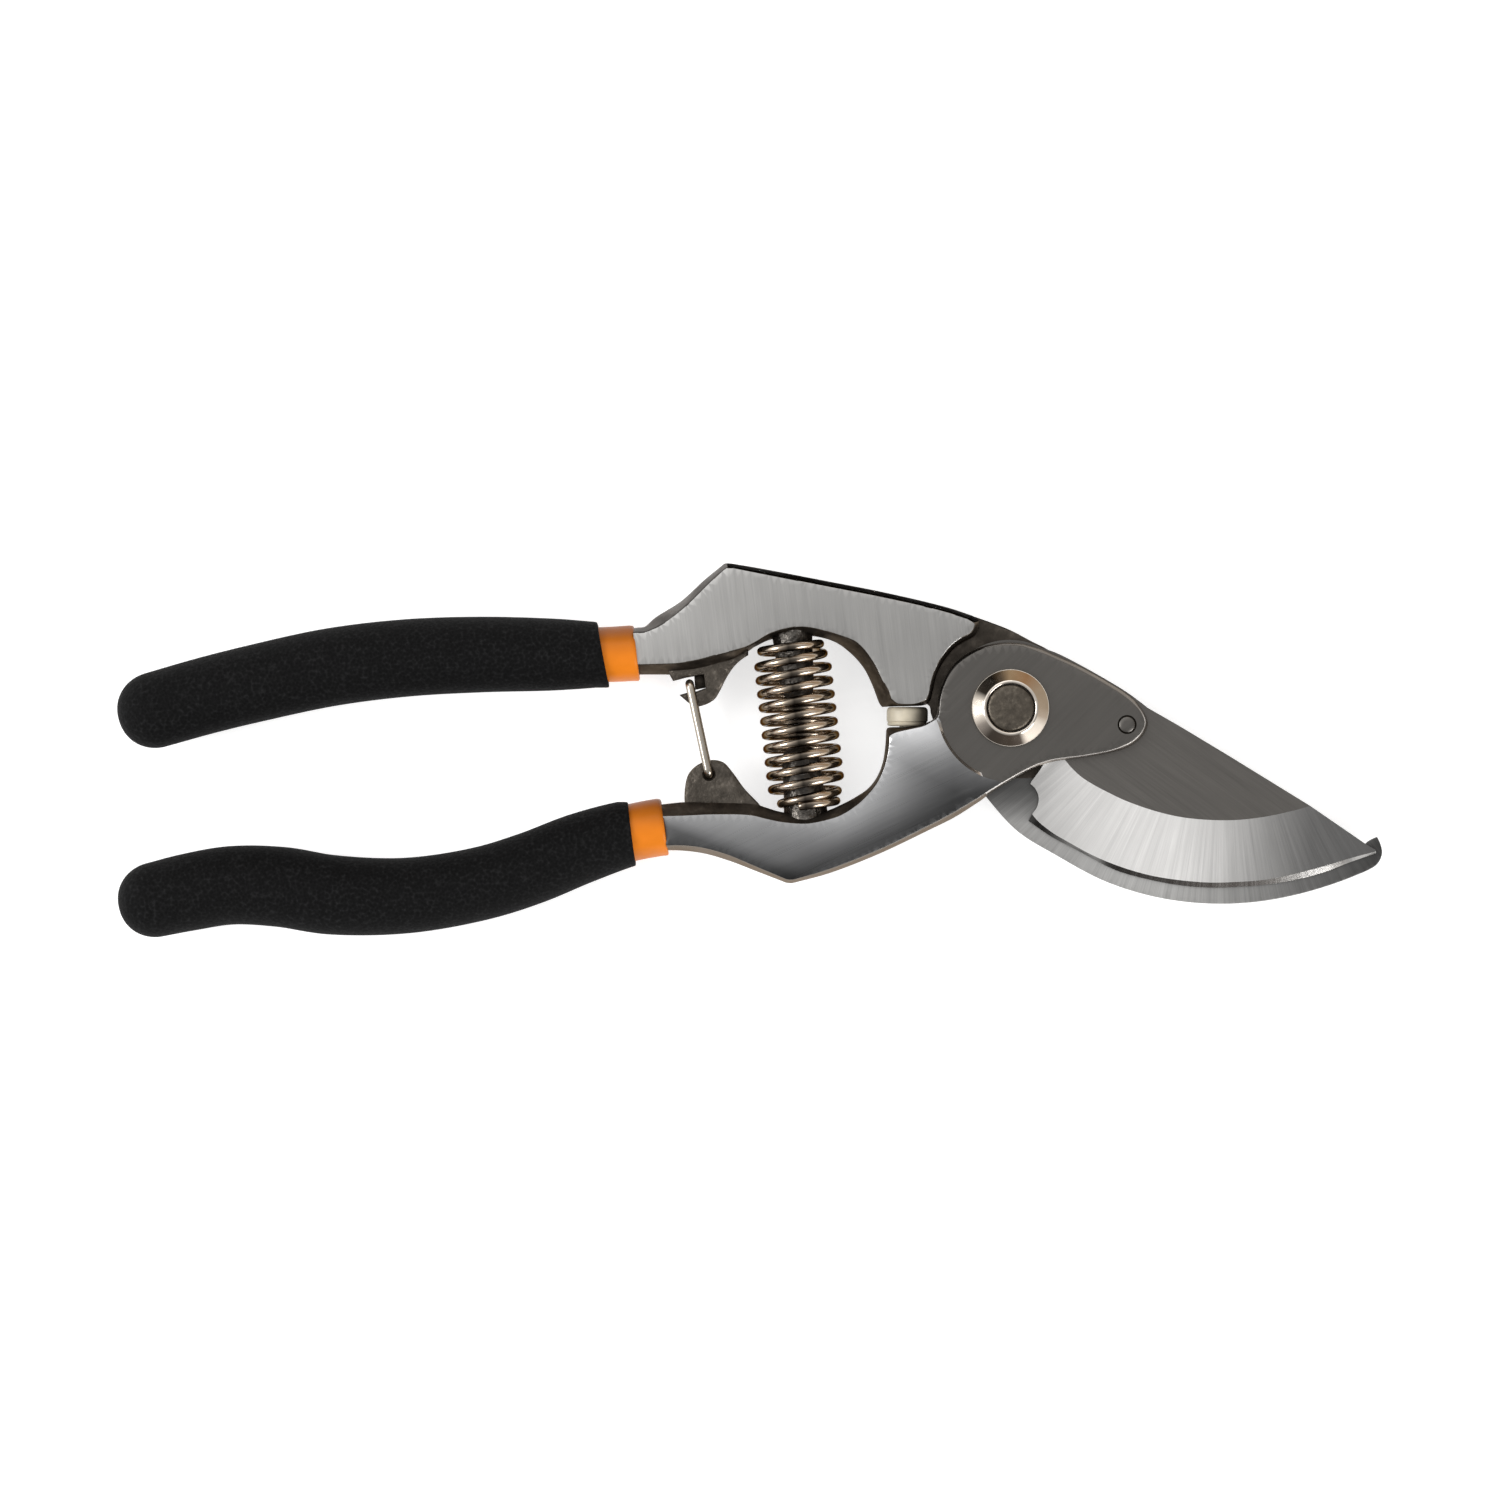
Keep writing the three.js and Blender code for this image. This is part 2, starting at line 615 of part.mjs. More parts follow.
const pruner = new THREE.Group();
pruner.name = 'bypass_pruner';
pruner.add(
  named('hook_handle', makeHookHandle(), brushedSteel()),
  named('blade_handle', makeBladeHandle(), satinSteel()),
  named('cutting_blade', makeBlade(), brushedSteel()),
  named('blade_rivet', roundBar(RIVET_PLACE, RIVET_RADIUS, BLADE_BACK, RIVET_FRONT, 20), satinSteel()),
  named('pivot_rivet', makePivotRivet(), peenedSteel()),
  named('pivot_bushing', makeBushing(), springSteel()),
  named('pivot_collar', makeCollar(), polishedNickel()),
  named('return_spring', makeSpring(), springSteel()),
  named('bumper', makeBumper(), creamNylon()),
  named('latch_bail', makeLatch(), polishedNickel()),
  named('upper_grip_sleeve', makeSleeve(UPPER_GRIP, UPPER_ORANGE_END), orangeVinyl()),
  named('upper_grip', makeGrip(UPPER_GRIP, UPPER_BLACK_END), blackVinyl()),
  named('lower_grip_sleeve', makeSleeve(LOWER_GRIP, LOWER_ORANGE_END), orangeVinyl()),
  named('lower_grip', makeGrip(LOWER_GRIP, LOWER_BLACK_END), blackVinyl()),
);

export default pruner;
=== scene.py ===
import math

import bmesh
import bpy
import numpy as np
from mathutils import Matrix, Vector
from mathutils.geometry import delaunay_2d_cdt


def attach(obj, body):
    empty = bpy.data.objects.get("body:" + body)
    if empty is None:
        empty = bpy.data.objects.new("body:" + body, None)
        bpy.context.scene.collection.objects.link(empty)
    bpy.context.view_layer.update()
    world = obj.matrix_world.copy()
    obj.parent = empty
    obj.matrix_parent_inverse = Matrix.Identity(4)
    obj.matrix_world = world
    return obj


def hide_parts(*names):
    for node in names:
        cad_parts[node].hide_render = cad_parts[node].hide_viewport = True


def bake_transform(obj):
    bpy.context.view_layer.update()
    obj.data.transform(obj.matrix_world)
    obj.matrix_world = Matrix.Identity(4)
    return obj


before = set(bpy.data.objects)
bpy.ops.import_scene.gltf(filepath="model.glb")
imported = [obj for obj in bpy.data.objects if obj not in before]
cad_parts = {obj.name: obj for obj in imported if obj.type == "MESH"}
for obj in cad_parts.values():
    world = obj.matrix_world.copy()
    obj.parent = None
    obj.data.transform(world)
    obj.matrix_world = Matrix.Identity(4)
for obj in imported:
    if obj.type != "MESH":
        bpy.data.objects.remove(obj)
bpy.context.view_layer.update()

# A forged bypass pruner, closed and latched. Outlines and heights are in millimetres, in the part's
# own frame: the pivot axis is at 0, 0, +X runs to the blade's tip, +Z is up through the front face.

MM = 0.001

BACK = 2.3  # back faces of both handles
FRONT = 12.1  # front faces of both handles
MIDDLE = 7.2  # parting plane of the forgings, centre of spring, latch and grips
HOOK_TOP = 6.2  # front of the hook plate
BLADE_BACK = 6.5
BLADE_TOP = 9.0
CARRIER_BACK = 9.3
COLLAR_BACK = 12.3
LUG_BACK = 5.2
LUG_TOP = 9.2
LATCH_HINGE = (-52.7, -11.6)
LATCH_BAR = (-56.1, 4.3)
LATCH_WIRE = 0.75
RIVET = (20.4, -2.9)
BLADE_SWEEP = (37.0, 12.0)  # centre that the bevel's grinding lines run toward


# ---------------------------------------------------------------- curves and meshes


def curve(rows, closed=False, spacing=0.4):
    """A centripetal Catmull-Rom curve through rows of numbers, of any width, in steps of about spacing."""
    p = np.array(rows, float)
    if closed:
        q = np.vstack([p[-1], p, p[0], p[1]])
    else:
        q = np.vstack([2 * p[0] - p[1], p, 2 * p[-1] - p[-2]])
    parts = []
    for a, b, c, d in zip(q, q[1:], q[2:], q[3:]):
        t0 = 0.0
        t1 = t0 + math.sqrt(np.linalg.norm(b - a))
        t2 = t1 + math.sqrt(np.linalg.norm(c - b))
        t3 = t2 + math.sqrt(np.linalg.norm(d - c))
        steps = max(2, math.ceil(np.linalg.norm(c - b) / spacing))
        t = np.linspace(t1, t2, steps, endpoint=False)[:, None]
        ab = (t1 - t) / (t1 - t0) * a + (t - t0) / (t1 - t0) * b
        bc = (t2 - t) / (t2 - t1) * b + (t - t1) / (t2 - t1) * c
        cd = (t3 - t) / (t3 - t2) * c + (t - t2) / (t3 - t2) * d
        abc = (t2 - t) / (t2 - t0) * ab + (t - t0) / (t2 - t0) * bc
        bcd = (t3 - t) / (t3 - t1) * bc + (t - t1) / (t3 - t1) * cd
        parts.append((t2 - t) / (t2 - t1) * abc + (t - t1) / (t2 - t1) * bcd)
    if not closed:
        parts.append(p[-1:])
    return np.vstack(parts)


def arc(radius, start, end, step=2.5):
    """Points round the pivot between two angles in degrees."""
    count = max(2, math.ceil(abs(end - start) / step))
    angles = np.radians(np.linspace(start, end, count + 1))
    return np.column_stack([radius * np.cos(angles), radius * np.sin(angles)])


def joined(*stretches):
    """One closed run of points from stretches that meet, without doubles."""
    points = np.vstack(stretches)
    step = np.linalg.norm(points - np.roll(points, 1, 0), axis=1)
    return points[step > 0.02]


def inset(outline, width):
    """Pairs every point of a closed outline with one that lies width inside it."""
    outline = np.asarray(outline, float)
    along = np.roll(outline, -1, 0) - np.roll(outline, 1, 0)
    along /= np.linalg.norm(along, axis=1)[:, None]
    x, y = outline.T
    area = np.sum(x * np.roll(y, -1) - np.roll(x, -1) * y)
    inward = np.column_stack([-along[:, 1], along[:, 0]]) * math.copysign(1, area)
    return np.hstack([outline, outline + inward * width])


def distance(points, line, closed=False):
    """How far each point is from a line of points."""
    line = np.asarray(line)[:, :2]
    ends = np.roll(line, -1, 0) if closed else line[1:]
    starts = line if closed else line[:-1]
    best = np.full(len(points), np.inf)
    for a, b in zip(starts, ends):
        d = b - a
        t = np.clip((points - a) @ d / max(d @ d, 1e-12), 0, 1)
        best = np.minimum(best, np.linalg.norm(points - a - t[:, None] * d, axis=1))
    return best


def inside(points, ring):
    """Which points lie inside a closed ring."""
    x, y = points.T
    within = np.zeros(len(points), bool)
    for (x0, y0), (x1, y1) in zip(ring, np.roll(ring, -1, 0)):
        if y0 != y1:
            crosses = (y0 > y) != (y1 > y)
            within ^= crosses & (x < (x1 - x0) * (y - y0) / (y1 - y0) + x0)
    return within


class Shell:
    """Vertices and faces of one piece, gathered before its mesh is made."""

    def __init__(self):
        self.points = []
        self.faces = []
        self.count = 0

    def add(self, points):
        start = self.count
        self.points.append(np.asarray(points, float))
        self.count += len(points)
        return start

    def bridge(self, rings, closed=True):
        """Quads between neighbouring rings of equally many points."""
        n = len(rings[0])
        starts = [self.add(ring) for ring in rings]
        last = n if closed else n - 1
        for a, b in zip(starts, starts[1:]):
            for i in range(last):
                j = (i + 1) % n
                self.faces.append((a + i, a + j, b + j, b + i))

    def fan(self, ring, tip):
        start = self.add(ring)
        middle = self.add([tip])
        n = len(ring)
        self.faces += [(start + i, start + (i + 1) % n, middle) for i in range(n)]

    def fill(self, ring, height, spacing=1.4, lines=()):
        """Triangles over the inside of a ring, through extra lines, each point lifted to height(xy)."""
        ring = np.asarray(ring)[:, :2]
        low, high = ring.min(0), ring.max(0)
        xs = np.arange(low[0], high[0], spacing)
        ys = np.arange(low[1], high[1], spacing * 0.87)
        grid = np.array([(x + spacing / 2 * (k % 2), y) for k, y in enumerate(ys) for x in xs])
        keep = inside(grid, ring) & (distance(grid, ring, closed=True) > spacing * 0.45)
        for line in lines:
            keep &= distance(grid, line) > spacing * 0.4
        places = [ring, *[np.asarray(line)[:, :2] for line in lines], grid[keep]]
        edges = []
        start = len(ring)
        for line in lines:
            edges += [(start + i, start + i + 1) for i in range(len(line) - 1)]
            start += len(line)
        points = [Vector(p) for p in np.vstack(places)]
        found = delaunay_2d_cdt(points, edges, [list(range(len(ring)))], 1, 1e-5)
        flat = np.array([tuple(v) for v in found[0]])
        first = self.add(np.column_stack([flat, height(flat)]))
        self.faces += [tuple(first + i for i in face) for face in found[2]]

    def make(self, name, sharp=32):
        mesh = bpy.data.meshes.new(name)
        mesh.from_pydata((np.vstack(self.points) * MM).tolist(), [], self.faces)
        piece = bpy.data.objects.new(name, mesh)
        bpy.context.scene.collection.objects.link(piece)
        work = bmesh.new()
        work.from_mesh(mesh)
        bmesh.ops.remove_doubles(work, verts=work.verts, dist=2e-6)
        bmesh.ops.recalc_face_normals(work, faces=work.faces)
        work.to_mesh(mesh)
        work.free()
        mesh.shade_smooth()
        mesh.set_sharp_from_angle(angle=math.radians(sharp))
        return piece


def level(height):
    return lambda xy: np.full(len(xy), float(height))


def stack(pairs, section):
    """Rings between a silhouette and the edge of its flat face. section lists (height, share of the
    way to the face's edge, millimetres further in)."""
    outer, inner = pairs[:, :2], pairs[:, 2:]
    way = inner - outer
    unit = way / np.maximum(np.linalg.norm(way, axis=1), 1e-6)[:, None]
    return [
        np.column_stack([outer + way * share + unit * extra, np.full(len(outer), float(z))])
        for z, share, extra in section
    ]


def forged(shell, pairs, section, low=None, high=None, lines=()):
    """A closed shell of stacked rings, its first ring filled by low(xy) and its last by high(xy)."""
    rings = stack(pairs, section)
    shell.bridge(rings)
    shell.fill(rings[0], low or level(section[0][0]))
    shell.fill(rings[-1], high or level(section[-1][0]), lines=lines)


def weighted(piece):
    """Keeps broad faces flat where they meet small fillets."""
    modifier = piece.modifiers.new("weighted", "WEIGHTED_NORMAL")
    modifier.keep_sharp = True
    modifier.weight = 100


def lathe(shell, profile, centre=(0, 0), steps=96, axis="Z", height=MIDDLE):
    """Turns a profile of (radius, distance along the axis) round an upright or a level axis."""
    angles = np.linspace(0, 2 * np.pi, steps, endpoint=False)
    rings = []
    for radius, along in profile:
        a, b = radius * np.cos(angles), radius * np.sin(angles)
        c = np.full(steps, float(along))
        if axis == "Z":
            rings.append(np.column_stack([centre[0] + a, centre[1] + b, c]))
        else:
            rings.append(np.column_stack([centre[0] + a, centre[1] + c, height + b]))
    shell.bridge(rings)
    return rings


def tube(shell, path, radius, sides=16):
    """A round wire along a path of 3-D points, with rounded ends."""
    path = np.asarray(path, float)
    tangents = np.gradient(path, axis=0)
    tangents /= np.linalg.norm(tangents, axis=1)[:, None]
    normal = np.cross(tangents[0], (0.3, 0.2, 0.93))
    rings = []
    turn = np.linspace(0, 2 * np.pi, sides, endpoint=False)
    for place, tangent in zip(path, tangents):
        normal = normal - tangent * (normal @ tangent)
        normal /= np.linalg.norm(normal)
        other = np.cross(tangent, normal)
        rings.append((place, tangent, normal, other))

    def ring(k, size, shift):
        place, tangent, normal, other = rings[k]
        middle = place + tangent * shift * radius
        around = np.outer(np.cos(turn), normal) + np.outer(np.sin(turn), other)
        return middle + around * radius * size

    last = len(path) - 1
    start = [ring(0, 0.5, -0.25), ring(0, 0.87, -0.12)]
    end = [ring(last, 0.87, 0.12), ring(last, 0.5, 0.25)]
    body = start + [ring(k, 1, 0) for k in range(last + 1)] + end
    shell.bridge(body)
    shell.fan(body[0], body[0].mean(0))
    shell.fan(body[-1], body[-1].mean(0))


def faces_of(piece):
    """Centres (mm) and normals of a piece's faces."""
    n = len(piece.data.polygons)
    centres, normals = np.zeros(n * 3), np.zeros(n * 3)
    piece.data.polygons.foreach_get("center", centres)
    piece.data.polygons.foreach_get("normal", normals)
    return centres.reshape(-1, 3) / MM, normals.reshape(-1, 3)


def paint(piece, materials, chosen=None):
    """Gives the piece its materials and each face the one that chosen names by number."""
    for material in materials:
        piece.data.materials.append(material)
    if chosen is not None:
        piece.data.polygons.foreach_set("material_index", np.asarray(chosen, np.int32))
        piece.data.update()


def place(piece, body, slot, *nodes):
    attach(piece, body)
    if nodes:
        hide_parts(*nodes)
    return piece


# ---------------------------------------------------------------- materials


class Nodes:
    """Shorthand for the node tree of a material or of the world."""

    def __init__(self, owner, kind, places):
        owner.use_nodes = True
        self.tree = owner.node_tree
        self.shader = next(n for n in self.tree.nodes if n.type == kind)
        self.places = self.new("ShaderNodeTexCoord").outputs[places]

    def new(self, kind, **values):
        node = self.tree.nodes.new(kind)
        for key, value in values.items():
            setattr(node, key, value)
        return node

    def link(self, source, target):
        self.tree.links.new(source, target)

    def scaled(self, scale, turn=0.0, source=None):
        node = self.new("ShaderNodeMapping")
        node.inputs["Scale"].default_value = scale
        node.inputs["Rotation"].default_value = (0, 0, math.radians(turn))
        self.link(source or self.places, node.inputs["Vector"])
        return node.outputs["Vector"]

    def noise(self, vector, scale=1.0, detail=3.0, roughness=0.55):
        node = self.new("ShaderNodeTexNoise")
        node.inputs["Scale"].default_value = scale
        node.inputs["Detail"].default_value = detail
        node.inputs["Roughness"].default_value = roughness
        self.link(vector, node.inputs["Vector"])
        return node.outputs["Fac"]

    def ramp(self, value, *stops):
        node = self.new("ShaderNodeValToRGB")
        elements = node.color_ramp.elements
        while len(elements) < len(stops):
            elements.new(0.5)
        for element, (at, color) in zip(elements, stops):
            element.position = at
            element.color = (*color, 1) if len(color) == 3 else color
        self.link(value, node.inputs["Fac"])
        return node.outputs["Color"]

    def mapped(self, value, low, high, start=0.0, end=1.0):
        node = self.new("ShaderNodeMapRange")
        for key, number in (("From Min", low), ("From Max", high), ("To Min", start), ("To Max", end)):
            node.inputs[key].default_value = number
        self.link(value, node.inputs["Value"])
        return node.outputs["Result"]

    def mix(self, factor, a, b, blend="MIX"):
        node = self.new("ShaderNodeMix", data_type="RGBA", blend_type=blend)
        for socket, value in ((node.inputs[0], factor), (node.inputs[6], a), (node.inputs[7], b)):
            if isinstance(value, bpy.types.NodeSocket):
                self.link(value, socket)
            elif isinstance(value, tuple):
                socket.default_value = (*value, 1)
            else:
                socket.default_value = value
        return node.outputs[2]

    def maths(self, operation, a, b=0.0):
        node = self.new("ShaderNodeMath", operation=operation)
        for socket, value in ((node.inputs[0], a), (node.inputs[1], b)):
            if isinstance(value, bpy.types.NodeSocket):
                self.link(value, socket)
            else:
                socket.default_value = value
        return node.outputs[0]

    def bump(self, height, strength, depth, normal=None):
        node = self.new("ShaderNodeBump")
        node.inputs["Strength"].default_value = strength
        node.inputs["Distance"].default_value = depth
        self.link(height, node.inputs["Height"])
        if normal is not None:
            self.link(normal, node.inputs["Normal"])
        return node.outputs["Normal"]

    def dot(self, vector, direction):
        node = self.new("ShaderNodeVectorMath", operation="DOT_PRODUCT")
        self.link(vector, node.inputs[0])
        node.inputs[1].default_value = direction
        return node.outputs["Value"]


class Material(Nodes):
    """A new material with a Principled shader."""

    def __init__(self, name):
        self.material = bpy.data.materials.new(name)
        super().__init__(self.material, "BSDF_PRINCIPLED", "Object")

    def set(self, **values):
        names = {
            "color": "Base Color", "metal": "Metallic", "rough": "Roughness", "normal": "Normal",
            "coat": "Coat Weight", "coat_rough": "Coat Roughness", "specular": "Specular IOR Level",
            "grazing": "Specular Tint", "glow": "Emission Color", "glow_strength": "Emission Strength",
        }
        for key, value in values.items():
            socket = self.shader.inputs[names[key]]
            if isinstance(value, bpy.types.NodeSocket):
                self.link(value, socket)
            elif isinstance(value, tuple):
                socket.default_value = (*value, 1)
            else:
                socket.default_value = value
        return self.material


def tinted(color, share):
    return tuple(c * share for c in color)


def faded(n, shade, fades):
    """Multiplies a colour by ramps across the piece, which paint light and shade onto it. Each fade is a
    direction, a range in millimetres along it and the shares at even steps through that range."""
    for direction, low, high, shares in fades:
        t = n.mapped(n.dot(n.places, direction), low * MM, high * MM)
        stops = [(k / (len(shares) - 1), (v, v, v)) for k, v in enumerate(shares)]
        shade = n.mix(1.0, shade, n.ramp(t, *stops), "MULTIPLY")
    return shade


def brushed(name, color, turn=0.0, rough=0.34, contrast=0.16, depth=0.00002, radial=None, fades=()):
    """Steel brushed along one direction, or along lines toward a centre."""
    n = Material(name)
    if radial is None:
        turned = n.scaled((1, 1, 1), -turn)
        fine = n.scaled((90, 4200, 90), source=turned)
        coarse = n.scaled((25, 700, 25), source=turned)
    else:
        split = n.new("ShaderNodeSeparateXYZ")
        n.link(n.places, split.inputs[0])
        dx = n.maths("SUBTRACT", split.outputs[0], radial[0] * MM)
        dy = n.maths("SUBTRACT", split.outputs[1], radial[1] * MM)
        angle = n.maths("ARCTAN2", dy, dx)
        reach = n.maths("SQRT", n.maths("ADD", n.maths("MULTIPLY", dx, dx), n.maths("MULTIPLY", dy, dy)))
        lines = n.new("ShaderNodeCombineXYZ")
        n.link(n.maths("MULTIPLY", angle, 240.0), lines.inputs[0])
        n.link(n.maths("MULTIPLY", reach, 40.0), lines.inputs[1])
        fine, coarse = lines.outputs[0], lines.outputs[0]
    lines_fine = n.noise(fine, 1.0 if radial is None else 1.6, 3)
    lines_coarse = n.noise(coarse, 1.0 if radial is None else 0.35, 2)
    cloud = n.noise(n.scaled((1, 1, 1)), 90, 3)
    streak = n.maths("ADD", n.maths("MULTIPLY", lines_fine, 0.6), n.maths("MULTIPLY", lines_coarse, 0.4))
    shade = n.ramp(streak, (0.32, tinted(color, 1 - contrast)), (0.68, tinted(color, 1 + contrast)))
    shade = n.mix(n.mapped(cloud, 0.35, 0.65, 0, 0.3), shade, tinted(color, 0.86))
    shade = faded(n, shade, fades)
    finish = n.mapped(streak, 0.3, 0.7, rough - 0.06, rough + 0.08)
    return n.set(color=shade, metal=1.0, rough=finish, normal=n.bump(streak, 0.35, depth))


def as_forged(name, color, rough=0.5, grain=900, depth=0.00008, grazing=(1.0, 1.0, 1.0), metal=0.9):
    """Dark scale left by the forge: mottled, grainy, with brighter rubbed spots. grazing is the tint of
    steep sides."""
    n = Material(name)
    spots = n.noise(n.scaled((1, 1, 1)), grain, 4, 0.6)
    cloud = n.noise(n.scaled((1, 1, 1)), grain / 5, 3)
    shade = n.ramp(spots, (0.3, tinted(color, 0.6)), (0.55, color), (0.8, tinted(color, 1.9)))
    shade = n.mix(n.mapped(cloud, 0.4, 0.7, 0, 0.6), shade, tinted(color, 0.6))
    finish = n.mapped(cloud, 0.3, 0.7, rough - 0.12, rough + 0.14)
    return n.set(color=shade, metal=metal, rough=finish, grazing=grazing, normal=n.bump(spots, 0.6, depth))


def polished(name, color, rough=0.16, depth=0.00001, fades=(), grazing=(1.0, 1.0, 1.0)):
    """Bright plated metal with faint wiping marks."""
    n = Material(name)
    haze = n.noise(n.scaled((1, 1, 1)), 260, 4)
    shade = faded(n, n.ramp(haze, (0.3, tinted(color, 0.88)), (0.7, tinted(color, 1.05))), fades)
    finish = n.mapped(haze, 0.3, 0.7, rough - 0.05, rough + 0.09)
    return n.set(color=shade, metal=1.0, rough=finish, grazing=grazing, normal=n.bump(haze, 0.3, depth))


def pebbled_vinyl(name, color):
    """Matte dipped foam: a fine pebbled skin with paler specks."""
    n = Material(name)
    pebbles = n.new("ShaderNodeTexVoronoi", feature="F1")
    pebbles.inputs["Scale"].default_value = 1700
    n.link(n.scaled((1, 1, 1)), pebbles.inputs["Vector"])
    fine = n.noise(n.scaled((1, 1, 1)), 2600, 3, 0.6)
    rolling = n.noise(n.scaled((1, 1, 1)), 240, 2)
    cells = n.maths("MULTIPLY", pebbles.outputs["Distance"], 0.5)
    grain = n.maths("ADD", cells, n.maths("MULTIPLY", fine, 0.6))
    shade = n.ramp(grain, (0.35, tinted(color, 0.55)), (0.6, color), (0.85, tinted(color, 2.6)))
    finish = n.mapped(fine, 0.3, 0.7, 0.62, 0.86)
    normal = n.bump(rolling, 0.25, 0.0002, n.bump(grain, 0.7, 0.00012))
    return n.set(color=shade, metal=0.0, rough=finish, normal=normal, specular=0.06)


def glossy_vinyl(name, color, fades=()):
    """Glossy dipped vinyl with a slightly uneven skin."""
    n = Material(name)
    rolling = n.noise(n.scaled((1, 1, 1)), 220, 2)
    fine = n.noise(n.scaled((1, 1, 1)), 1800, 2)
    shade = faded(n, n.ramp(rolling, (0.3, tinted(color, 0.93)), (0.7, tinted(color, 1.04))), fades)
    normal = n.bump(rolling, 0.22, 0.0002, n.bump(fine, 0.15, 0.00002))
    finish = n.mapped(rolling, 0.3, 0.7, 0.34, 0.44)
    return n.set(
        color=shade, metal=0.0, rough=finish, normal=normal, specular=0.12, coat=0.04, coat_rough=0.15
    )


def moulded_nylon(name, color, fades=()):
    """Satin moulded plastic, slightly clouded."""
    n = Material(name)
    cloud = n.noise(n.scaled((1, 1, 1)), 500, 3)
    shade = faded(n, n.ramp(cloud, (0.3, tinted(color, 0.86)), (0.7, tinted(color, 1.06))), fades)
    finish = n.mapped(cloud, 0.3, 0.7, 0.4, 0.52)
    return n.set(color=shade, metal=0.0, rough=finish, normal=n.bump(cloud, 0.2, 0.00004))


ALONG_X = (1, 0, 0)
ALONG_Y = (0, 1, 0)
# Painted light: the land's steel is made darker toward the pivot, in place of its reflection fading there.
LAND = brushed("upper_land_steel", (0.488, 0.480, 0.466), turn=97, contrast=0.09,
               fades=[(ALONG_X, -64, -8, (1.0, 0.92, 0.80, 0.74, 0.75))])
# Painted shade: a near-black copy of the forged flank steel for the long top flank, its steep sides
# near-black too.
SHADED_TOP_FLANK = as_forged("shaded_forged_top_flank", (0.012, 0.010, 0.008), rough=0.36, grain=700, depth=0.00003,
                      grazing=(0.06, 0.05, 0.04), metal=1.0)
# Painted light: a copy of the forged flank steel with brighter steep sides, for the back edge that faces up
# and left.
UPPER_EDGE = as_forged("upper_edge_steel", (0.075, 0.070, 0.066), rough=0.36, grain=700, depth=0.00003,
                       grazing=(0.70, 0.68, 0.66))
FLANK = as_forged("forged_flank", (0.085, 0.073, 0.061), rough=0.42, grain=700, depth=0.00005,
                  grazing=(0.52, 0.46, 0.40))
CAST = as_forged("rough_cast", (0.092, 0.080, 0.067), rough=0.40, grain=560, depth=0.0009,
                 grazing=(0.5, 0.45, 0.4))
PEG_CAST = as_forged("rough_peg_cast", (0.105, 0.096, 0.086), rough=0.34, grain=420, depth=0.0014,
                     grazing=(0.3, 0.26, 0.22))
# Painted light and shade: the hook band is lighter midway along and darker toward the tip, for its
# reflection, and darker toward the carrier, for its shadow.
HOOK_FACE = brushed("hook_face_steel", (0.42, 0.415, 0.405), rough=0.38, contrast=0.26, radial=BLADE_SWEEP,
                    fades=[(ALONG_X, 0, 64, (0.90, 0.98, 1.16, 1.22, 1.04, 0.82, 0.53, 0.35, 0.17)),
                           (ALONG_Y, -20.2, -14.2, (1.0, 0.66, 0.42, 0.30))])
# Painted shade: the flat faces round the pivot get a dark copy of the steel, standing in for the dark
# reflection they show from above.
CARRIER_FACE = brushed("carrier_face_steel", (0.118, 0.111, 0.103), turn=45, rough=0.36, contrast=0.05)
# Painted light: the carrier's rim is made lighter toward its lower side and darker toward its upper side.
CARRIER_RIM = polished("carrier_rim_steel", (0.45, 0.43, 0.41), rough=0.26, grazing=(0.6, 0.55, 0.5),
                       fades=[(ALONG_Y, -6, 3, (1.3, 1.0, 0.42, 0.30))])
# Painted light and shade: ramps make the lower handle's face darker toward its lower edge and lower right,
# varied along its length, and much lighter next to the bumper, in place of its reflections.
LOWER_BODY = brushed(
    "lower_body_steel", (0.33, 0.33, 0.333), turn=25, rough=0.3, contrast=0.05,
    fades=[
        ((-0.40, 0.915, 0), -14, 2, (0.22, 0.33, 0.55, 0.78, 0.86, 0.925, 1.0, 1.05, 1.05)),
        ((0.36, 0.93, 0), -43, -38, (0.40, 0.44, 0.50, 0.77, 0.95, 1.0)),
        (ALONG_X, -60, -10, (0.79, 0.79, 0.81, 0.84, 0.77, 0.82, 1.0, 1.0, 0.93, 0.66, 0.44)),
        ((0.5, 0.866, 0), -17.5, -11, (1.0, 1.5, 2.2)),
    ],
)
LOWER_BACK = brushed("lower_back_steel", (0.33, 0.33, 0.335), turn=25, rough=0.32, contrast=0.06)
LOWER_EDGE = polished("lower_edge_steel", (0.20, 0.18, 0.16), rough=0.28, grazing=(0.55, 0.48, 0.42))
# Painted shade: the blade's flat is a dark copy of the blade steel, standing in for the dark reflection it
# shows from above.
BLADE_FACE = brushed("blade_face_steel", (0.134, 0.126, 0.117), turn=-36, rough=0.4, contrast=0.1)
# Painted reflection: the bevel's near-white colour and its ramp, brightest a third of the way along and dark
# at the tip, stand in for the bright reflection it catches.
BLADE_BEVEL = brushed(
    "blade_bevel_steel", (0.98, 0.965, 0.945), rough=0.36, contrast=0.10, radial=BLADE_SWEEP,
    fades=[(ALONG_X, 5, 61, (0.60, 0.85, 0.96, 0.96, 0.70, 0.36, 0.18, 0.145))],
)
# Painted light and shade: the small edge bevel is made darker near the heel and lighter toward the tip.
BLADE_EDGE = brushed("blade_edge_steel", (0.50, 0.49, 0.475), rough=0.22, contrast=0.10, radial=BLADE_SWEEP,
                     fades=[(ALONG_X, 5, 60, (0.16, 0.30, 0.58, 1.05, 0.95, 0.70))])
NICKEL = polished("nickel_plate", (0.66, 0.60, 0.53), rough=0.07)
PEENED = as_forged("peened_steel", (0.105, 0.090, 0.072), rough=0.42, grain=900, depth=0.00015)
